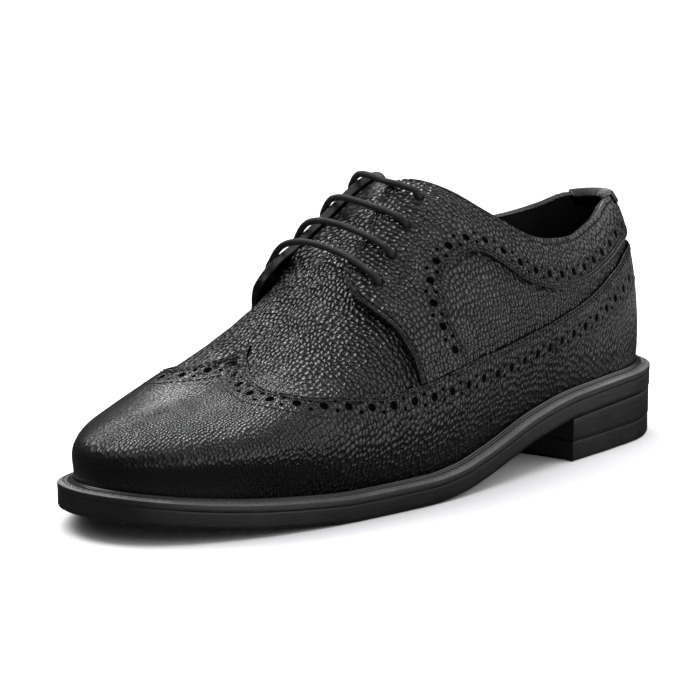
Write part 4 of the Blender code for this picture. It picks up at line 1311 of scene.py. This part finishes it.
def make_heel_tab():
    """A folded strip over the top line, with rounded folds."""
    outer_gap, inner_gap = 0.0003, -0.0036
    thick, low = 0.0007, 0.0001
    drop = TAB_DROP
    face = outer_gap + thick
    profile = [(outer_gap, -drop - 0.0003), (outer_gap + 0.7 * thick, -drop), (face, -drop + 0.0006)]
    profile += [(face, -drop + 0.002), (face, 0.0)]
    top = low + thick
    middle, half = 0.5 * (outer_gap + inner_gap), 0.5 * (outer_gap - inner_gap) + thick
    for angle in np.linspace(0.0, pi, 13)[1:-1]:
        profile.append((middle + half * np.cos(angle), top * np.sin(angle) ** 0.7))
    profile += [(inner_gap - thick, 0.0), (inner_gap - thick, -drop), (inner_gap, -drop)]
    half_round = float(np.sum(np.hypot(*np.diff(half_curve(FEATHER, 1)[0], axis=0).T)))
    rings = []
    for place in np.linspace(-0.5, 0.5, 61):
        side = 1 if place >= 0.0 else -1
        reach = abs(place) * TAB_WIDTH * 1.35
        station = np.array(float(station_of(reach / half_round, side)))
        girth = top_girth(side, station)
        edge = last_point(side, station, girth)
        normal = last_normal(side, station, girth)
        lower = last_point(side, station, girth - 0.04)
        up = (edge - lower) / np.linalg.norm(edge - lower)
        ends = 1.0 - 0.5 * smooth((abs(place) - 0.485) / 0.015)
        narrow = 0.9 + 0.1 * ends
        ring = []
        for out, high in profile:
            rise = high * ends if high > 0 else high
            ring.append(edge + normal * (middle + (out - middle) * narrow) + up * rise)
        rings.append(ring)
    made = sheet_object("heel_tab_leather", [(np.array(rings), False)], "smooth")
    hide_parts("heel_tab")


# Laces


def lace_under(side, station, girth):
    """How far from the last the cord runs under the facing."""
    return wall_flare(side, station, girth) - (LEATHER + FACING_LIFT + WALL + LACE_CLEAR + LACE_RADIUS)


def bar_half(side, number):
    """Half a bar: up through its eyelet and over to the facing's edge."""
    station, outer, inner = EYELETS[number]
    girth = outer if side > 0 else inner
    edge = float(top_girth(side, np.array(station)))
    steps = ((girth, 0.0), (girth, 0.62), (girth + 0.0015, 0.80), (girth + 0.006, 0.93),
             (girth + 0.015, 1.0), (0.5 * (girth + edge), 1.0), (edge, 1.0))
    points = []
    for at, rise in steps:
        low = lace_under(side, station, at)
        high = facing_offset(side, np.array(station), np.array(at)) + LACE_RADIUS + 0.0002
        points.append(on_last(side, station, at, low + (high - low) * rise))
    return points


def lace_row(side, number, shift):
    stations = [row[0] for row in EYELETS]
    girths = [row[1 if side > 0 else 2] for row in EYELETS]
    station = np.interp(number, range(4), stations)
    girth = np.interp(number, range(4), girths) - shift
    return on_last(side, station, girth, lace_under(side, station, girth))


def lace_route():
    route = []
    side = 1
    for number in range(4):
        route += bar_half(side, number)
        route += bar_half(-side, number)[::-1]
        side = -side
        if number < 3:
            route.append(lace_row(side, number + 0.5, 0.0))
    for number in LACE_TAIL:
        route.append(lace_row(1, number, 0.040))
    return np.array(route)


def make_laces():
    """The cord as a braid: a round tube whose surface swells in crossing strands."""
    route = lace_route()
    run = run_length(route)
    count = int(run[-1] / 0.00038)
    at = np.linspace(0.0, run[-1], count)
    path = np.stack([hermite(run, route[:, k], at, True) for k in range(3)], axis=-1)
    tangent = np.gradient(path, axis=0)
    tangent /= np.linalg.norm(tangent, axis=1)[:, None]
    normal = np.zeros_like(path)
    current = np.cross(tangent[0], (0.0, 1.0, 0.0))
    for i in range(count):
        current = current - tangent[i] * np.dot(current, tangent[i])
        current /= np.linalg.norm(current)
        normal[i] = current
    across = np.cross(tangent, normal)
    sides = 18
    angle = np.arange(sides + 1) * 2 * pi / sides
    twist = at[:, None] / 0.0052 * 2 * pi
    strands = 6
    first = np.abs(np.sin(0.5 * strands * (angle[None, :] + twist / strands * 2.0)))
    second = np.abs(np.sin(0.5 * strands * (angle[None, :] - twist / strands * 2.0)))
    radius = LACE_RADIUS * (0.93 + 0.05 * first + 0.05 * second)
    cos, sin = np.cos(angle)[None, :, None], np.sin(angle)[None, :, None]
    ring = normal[:, None, :] * cos + across[:, None, :] * sin
    points = path[:, None, :] + ring * radius[..., None]
    points[:, -1] = points[:, 0]
    laces = sheet_object("lace_braid", [(points, False)], "lace")
    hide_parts("laces")


# Sole


def ring_sweep(name, profile, level, material, count=900):
    """A profile of (inset, height above a level) swept round the sole."""
    rings = []
    for distance, height in profile:
        flat = inset(EDGE, distance)
        picked = flat[np.linspace(0, len(flat), count, endpoint=False).astype(int)]
        ring = np.column_stack([picked, level(picked[:, 1]) + height])
        rings.append(np.vstack([ring, ring[:1]]))
    return sheet_object(name, [(np.array(rings), False)], material)


def make_welt():
    """The welt: an inked edge and lip, a stitched band that is light grey partly from wear and partly as a
    painted highlight, and two beads beside the upper.
    """
    top = WELT_THICKNESS
    edge = [(0.0120, -GAP), (0.0003, -GAP), (0.0002, 0.0003), (0.0002, top - 0.0014), (0.0004, top - 0.0011)]
    band = [(0.0004, top - 0.0011), (0.0012, top - 0.0008), (0.0021, top - 0.0005), (0.0029, top - 0.0003)]
    band += [(0.0035, top - 0.0003), (0.0037, top - 0.0007)]
    beads = [(0.0037, top - 0.0007)]
    for centre, radius in ((0.0042, 0.00045), (0.0054, 0.00070)):
        for angle in np.linspace(0.0, pi, 7):
            beads.append((centre - radius * np.cos(angle), top - 0.0004 + 1.7 * radius * np.sin(angle)))
    beads += [(0.0064, top - 0.0002), (0.0120, top - 0.0002)]

    def lower(y):
        return outsole_top(y) + GAP

    for name, profile, material in (("welt_edge", edge, "sole_edge"), ("welt_band", band, "welt"),
                                    ("welt_beads", beads, "bead")):
        part = ring_sweep(name, profile, lower, material)
        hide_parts("welt")
    line = even_run(inset(EDGE, 0.0024), 6000, closed=True)
    full = np.column_stack([line, lower(line[:, 1]) + top - 0.0005])
    places = []
    for at in walk(np.vstack([full, full[:1]]), 0.0031):
        i = int(at) % len(full)
        ahead = full[(i + 3) % len(full)] - full[(i - 3) % len(full)]
        ahead /= np.linalg.norm(ahead)
        slant = ahead + 0.30 * np.cross((0.0, 0.0, 1.0), ahead)
        places.append((full[i], slant, np.array([0.0, 0.0, 1.0])))
    thread_objects("welt_stitches", places, 0.00042, 0.0029, "welt_thread")


def slab(level_low, level_high, margin, bevel_low, ends=None, hollow=0.0, bevel_high=0.0003):
    """A plate with the sole's outline and bevelled edges, cut at the heel's breast where ends are given."""
    stations = 260 if ends is None else 150
    tables = half_tables(inset(EDGE, margin))
    heel, toe = tables[1][0][0], tables[1][0][-1]
    if ends is None:
        share = 0.5 * (1.0 - np.cos(pi * np.linspace(0.0, 1.0, stations)))
        reach = {1: toe, -1: toe}
    else:
        share = 1.0 - np.cos(0.5 * pi * np.linspace(0.0, 1.0, stations))
        reach = {1: ends[0], -1: ends[1]}
    y = {side: heel + (reach[side] - heel) * share for side in (1, -1)}
    x = {side: np.interp(y[side], tables[side][0], tables[side][1]) for side in (1, -1)}
    loop = np.vstack([np.column_stack([x[1], y[1]]), np.column_stack([x[-1], y[-1]])[::-1]])
    if ends is not None:
        weight = np.linspace(0.0, 1.0, 42)[1:-1, None]
        front = (1.0 - weight) * loop[stations - 1] + weight * loop[stations]
        front[:, 1] -= hollow * (1.0 - (2.0 * weight[:, 0] - 1.0) ** 2)
        loop = np.vstack([loop[:stations], front, loop[stations:]])
    keep = np.linalg.norm(loop - np.roll(loop, 1, axis=0), axis=1) > 1e-6
    loop = loop[keep]
    tangent = np.roll(loop, -1, axis=0) - np.roll(loop, 1, axis=0)
    tangent /= np.linalg.norm(tangent, axis=1)[:, None]
    outward = np.stack([tangent[:, 1], -tangent[:, 0]], axis=-1)
    rings = []
    for pull, lift in ((bevel_low, 0.0), (0.35 * bevel_low, 0.3 * bevel_low), (0.0, 1.0 * bevel_low)):
        flat = loop - outward * pull
        rings.append(np.column_stack([flat, level_low(flat[:, 1]) + lift]))
    for k in np.linspace(0.15, 0.85, 5):
        low = level_low(loop[:, 1]) + bevel_low
        high = level_high(loop[:, 1]) - bevel_high
        rings.append(np.column_stack([loop, low + (high - low) * k]))
    for pull, lift in ((0.0, bevel_high), (0.4 * bevel_high, 0.3 * bevel_high), (bevel_high, 0.0)):
        flat = loop - outward * pull
        rings.append(np.column_stack([flat, level_high(flat[:, 1]) - lift]))
    wall = np.array([np.vstack([ring, ring[:1]]) for ring in rings])
    last = (wall.shape[0] - 1) * wall.shape[1]
    caps = [tuple(range(len(loop))), tuple(range(last, last + len(loop)))]
    return placed(wall).reshape(-1, 3), grid_indices(wall.shape[0], wall.shape[1]) + caps


def add_slab(name, material, slot, bottom_material=None, **settings):
    vertices, faces = slab(**settings)
    mesh = bpy.data.meshes.new(name)
    mesh.from_pydata(vertices.tolist(), [], faces)
    builder = bmesh.new()
    builder.from_mesh(mesh)
    bmesh.ops.remove_doubles(builder, verts=builder.verts[:], dist=WELD)
    big = [face for face in builder.faces if len(face.verts) > 8]
    bmesh.ops.triangulate(builder, faces=big)
    bmesh.ops.recalc_face_normals(builder, faces=builder.faces[:])
    for face in builder.faces:
        face.smooth = True
        face.material_index = 1 if bottom_material and face.normal.z < -0.6 else 0
    builder.to_mesh(mesh)
    builder.free()
    mesh.materials.append(MATERIALS[material])
    if bottom_material:
        mesh.materials.append(MATERIALS[bottom_material])
    mesh.set_sharp_from_angle(angle=pi / 5.0)
    made = linked(name, mesh)
    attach(made, "root")
    return made


def flat_level(height):
    return lambda y: height + 0.0 * y


def make_sole():
    sole = add_slab("sole_slab", "sole_edge", "sole_edge", "bottom", level_low=sole_bottom,
                    level_high=outsole_top, margin=0.0003, bevel_low=0.0011, bevel_high=0.00012)
    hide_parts("outsole")
    breast = {"ends": (BREAST_OUTER, BREAST_INNER), "hollow": BREAST_HOLLOW}
    stack = add_slab("heel_block", "sole_edge", "sole_edge",
                     level_low=flat_level(TOP_LIFT_THICKNESS + 0.0002),
                     level_high=lambda y: sole_bottom(y) - 0.0002, margin=0.0006, bevel_low=0.0003, **breast)
    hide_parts("heel_stack")
    lift = add_slab("heel_lift", "top_lift", "top_lift", level_low=flat_level(0.0),
                    level_high=flat_level(TOP_LIFT_THICKNESS), margin=0.0008, bevel_low=0.0009, **breast)
    cut_notches(lift)
    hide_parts("top_lift")


def cut_notches(lift):
    """Two small notches in the rubber's outer edge."""
    half, _ = half_curve(inset(EDGE, 0.0008), 1)
    back = half[:len(half) // 2]
    for along in (0.35, 0.55):
        y = along * BREAST_OUTER
        x = float(np.interp(y, back[:, 1], back[:, 0]))
        mesh = bpy.data.meshes.new("notch")
        builder = bmesh.new()
        bmesh.ops.create_cone(builder, cap_ends=True, segments=20, radius1=NOTCH_RADIUS,
                              radius2=NOTCH_RADIUS, depth=0.0072)
        bmesh.ops.translate(builder, verts=builder.verts[:], vec=placed([(x, y, 0.0)])[0])
        builder.to_mesh(mesh)
        builder.free()
        cutter = linked("notch_tool", mesh)
        cut = lift.modifiers.new("notch", "BOOLEAN")
        cut.operation = "DIFFERENCE"
        cut.solver = "EXACT"
        cut.object = cutter
        done = bpy.data.meshes.new_from_object(lift.evaluated_get(bpy.context.evaluated_depsgraph_get()))
        lift.modifiers.clear()
        old = lift.data
        lift.data = done
        bpy.data.meshes.remove(old)
        bpy.data.objects.remove(cutter, do_unlink=True)


def make_sock():
    """The sock inside: a thin leather sheet on the insole, dished at the heel."""
    stations = np.linspace(0.0, 1.0, 160)
    tables = half_tables(inset(EDGE, WELT_WIDTH + 0.0036))
    heel, toe = tables[1][0][0], tables[1][0][-1]
    y = heel + (toe - heel) * 0.5 * (1.0 - np.cos(pi * stations))
    outer, inner = (np.interp(y, tables[side][0], tables[side][1]) for side in (1, -1))
    weight = np.linspace(0.0, 1.0, 40)[None, :]
    x = outer[:, None] * (1.0 - weight) + inner[:, None] * weight
    yy = np.broadcast_to(y[:, None], x.shape)
    rim = 0.0016 * np.abs(2.0 * weight - 1.0) ** 6 * np.ones_like(x)
    z = welt_top(yy) + GAP + INSOLE_THICKNESS + rim
    sock = sheet_object("sock", [(np.stack([x, yy, z], axis=-1), False)], "lining")
    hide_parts("insole")


make_wing()
make_base()
make_facing(1, "outer_facing", "facing_outer")
make_facing(-1, "inner_facing", "facing_inner")
make_stitches()
make_tongue()
make_heel_tab()
make_laces()
make_welt()
make_sole()
make_sock()


# Floor, light and camera

CAMERA_PLACE = Vector((0.7634, -0.8015, 0.2458))
PHOTO_HEADING = Vector((-0.7515, 0.6597, 0.0))
PHOTO_PITCH = 7.634 * pi / 180.0
PHOTO_FOCAL = 1712.4
AIM_PIXEL = (485.0, 425.0)
ZOOM = 1.72
PIXELS = 700.0
SENSOR = 36.0
FLOOR_REACH = 12.0
BACKDROP_RADIUS = 11.5


def stand(thing, place, direction):
    """Puts a camera or a lamp in its place and turns it to a direction."""
    thing.location = place
    thing.rotation_mode = "QUATERNION"
    thing.rotation_quaternion = direction.to_track_quat("-Z", "Y")


def make_camera():
    """The photograph's camera, turned to the one shoe, with a longer lens."""
    ahead = (PHOTO_HEADING.normalized() * np.cos(PHOTO_PITCH) - Vector((0, 0, 1)) * np.sin(PHOTO_PITCH))
    right = ahead.cross(Vector((0, 0, 1))).normalized()
    up = right.cross(ahead)
    aim = ahead * PHOTO_FOCAL + right * (AIM_PIXEL[0] - 0.5 * PIXELS) - up * (AIM_PIXEL[1] - 0.5 * PIXELS)
    data = bpy.data.cameras.new("camera")
    data.sensor_width = SENSOR
    data.lens = PHOTO_FOCAL * ZOOM / PIXELS * SENSOR
    data.clip_start, data.clip_end = 0.05, 50.0
    camera = linked("camera", data)
    stand(camera, CAMERA_PLACE, aim.normalized())
    bpy.context.scene.camera = camera


def area_light(name, place, target, size, power):
    data = bpy.data.lights.new(name, "AREA")
    data.shape = "RECTANGLE"
    data.size, data.size_y = size
    data.energy = power
    stand(linked(name, data), place, Vector(target) - Vector(place))


def glowing(name, strength):
    material, _, shader = start_material(name)
    shader.inputs["Base Color"].default_value = (0.0, 0.0, 0.0, 1.0)
    shader.inputs["Emission Color"].default_value = (1.0, 1.0, 1.0, 1.0)
    shader.inputs["Emission Strength"].default_value = strength
    return material


def unseen_by(thing, *kinds):
    for kind in kinds:
        setattr(thing, "visible_" + kind, False)


def make_floor():
    """A white floor, and a white backdrop far behind it on all sides."""
    mesh = bpy.data.meshes.new("floor")
    size = FLOOR_REACH
    corners = [(-size, -size, 0), (size, -size, 0), (size, size, 0), (-size, size, 0)]
    mesh.from_pydata(corners, [], [(0, 1, 2, 3)])
    material, _, shader = start_material("white_floor")
    shader.inputs["Base Color"].default_value = (0.90, 0.90, 0.90, 1.0)
    shader.inputs["Roughness"].default_value = 0.9
    shader.inputs["Specular IOR Level"].default_value = 0.1
    mesh.materials.append(material)
    floor = linked("floor", mesh)
    unseen_by(floor, "glossy")
    builder = bmesh.new()
    bmesh.ops.create_uvsphere(builder, u_segments=48, v_segments=24, radius=BACKDROP_RADIUS)
    mesh = bpy.data.meshes.new("backdrop")
    builder.to_mesh(mesh)
    builder.free()
    mesh.materials.append(glowing("white_backdrop", 1.0))
    backdrop = linked("backdrop", mesh)
    unseen_by(backdrop, "diffuse", "glossy", "transmission", "volume_scatter", "shadow")


def make_world():
    world = bpy.data.worlds.new("studio")
    bpy.context.scene.world = world
    world.use_nodes = True
    world.node_tree.nodes["Background"].inputs["Color"].default_value = (0.97, 0.97, 1.0, 1.0)
    world.node_tree.nodes["Background"].inputs["Strength"].default_value = 0.04
    bpy.context.scene.view_settings.view_transform = "Standard"


def sun_light(name, towards, strength, spread):
    data = bpy.data.lights.new(name, "SUN")
    data.energy = strength
    data.angle = spread * pi / 180.0
    data.color = (0.98, 0.98, 1.0)
    light = linked(name, data)
    stand(light, Vector(towards) * 3.0, -Vector(towards))
    return light


def glow_card(name, corners, strength):
    """A white card lying by the shoe, out of the picture, that only its gloss picks up."""
    mesh = bpy.data.meshes.new(name)
    mesh.from_pydata([(x, y, 0.001) for x, y in corners], [], [(0, 1, 2, 3)])
    mesh.materials.append(glowing(name, strength))
    card = linked(name, mesh)
    unseen_by(card, "camera", "diffuse", "transmission", "volume_scatter", "shadow")


def heading(azimuth, elevation, distance):
    """A place at a distance from the shoe, turned from the toe's side and lifted from the floor."""
    turn, lift = azimuth * pi / 180.0, elevation * pi / 180.0
    level = (distance * np.sin(turn) * np.cos(lift), -distance * np.cos(turn) * np.cos(lift))
    return (*level, distance * np.sin(lift))


make_camera()
make_floor()
make_world()
sun_light("overhead_sky", (0.0, 0.0, 1.0), 1.5, 120.0)
sun_light("floor_light", (-0.15, 0.10, 1.0), 2.6, 70.0).visible_glossy = False
area_light("left_box", heading(-70.0, 53.0, 1.3), (0.0, -0.05, 0.05), (0.80, 0.74), 8.4)
area_light("toe_box", heading(-124.0, 42.0, 1.3), (0.0, -0.12, 0.04), (0.36, 0.32), 3.8)
area_light("right_panel", heading(92.0, 20.0, 1.5), (0.0, 0.0, 0.08), (1.6, 0.95), 6.6)
area_light("back_panel", heading(160.0, 30.0, 1.5), (0.0, 0.05, 0.08), (1.4, 0.9), 5.0)
glow_card("right_card", ((0.10, -0.50), (1.60, -0.90), (1.60, 1.00), (0.10, 0.45)), 1.6)
glow_card("back_card", ((-0.3, 0.45), (0.10, 0.45), (1.60, 1.00), (-0.3, 1.6)), 0.4)
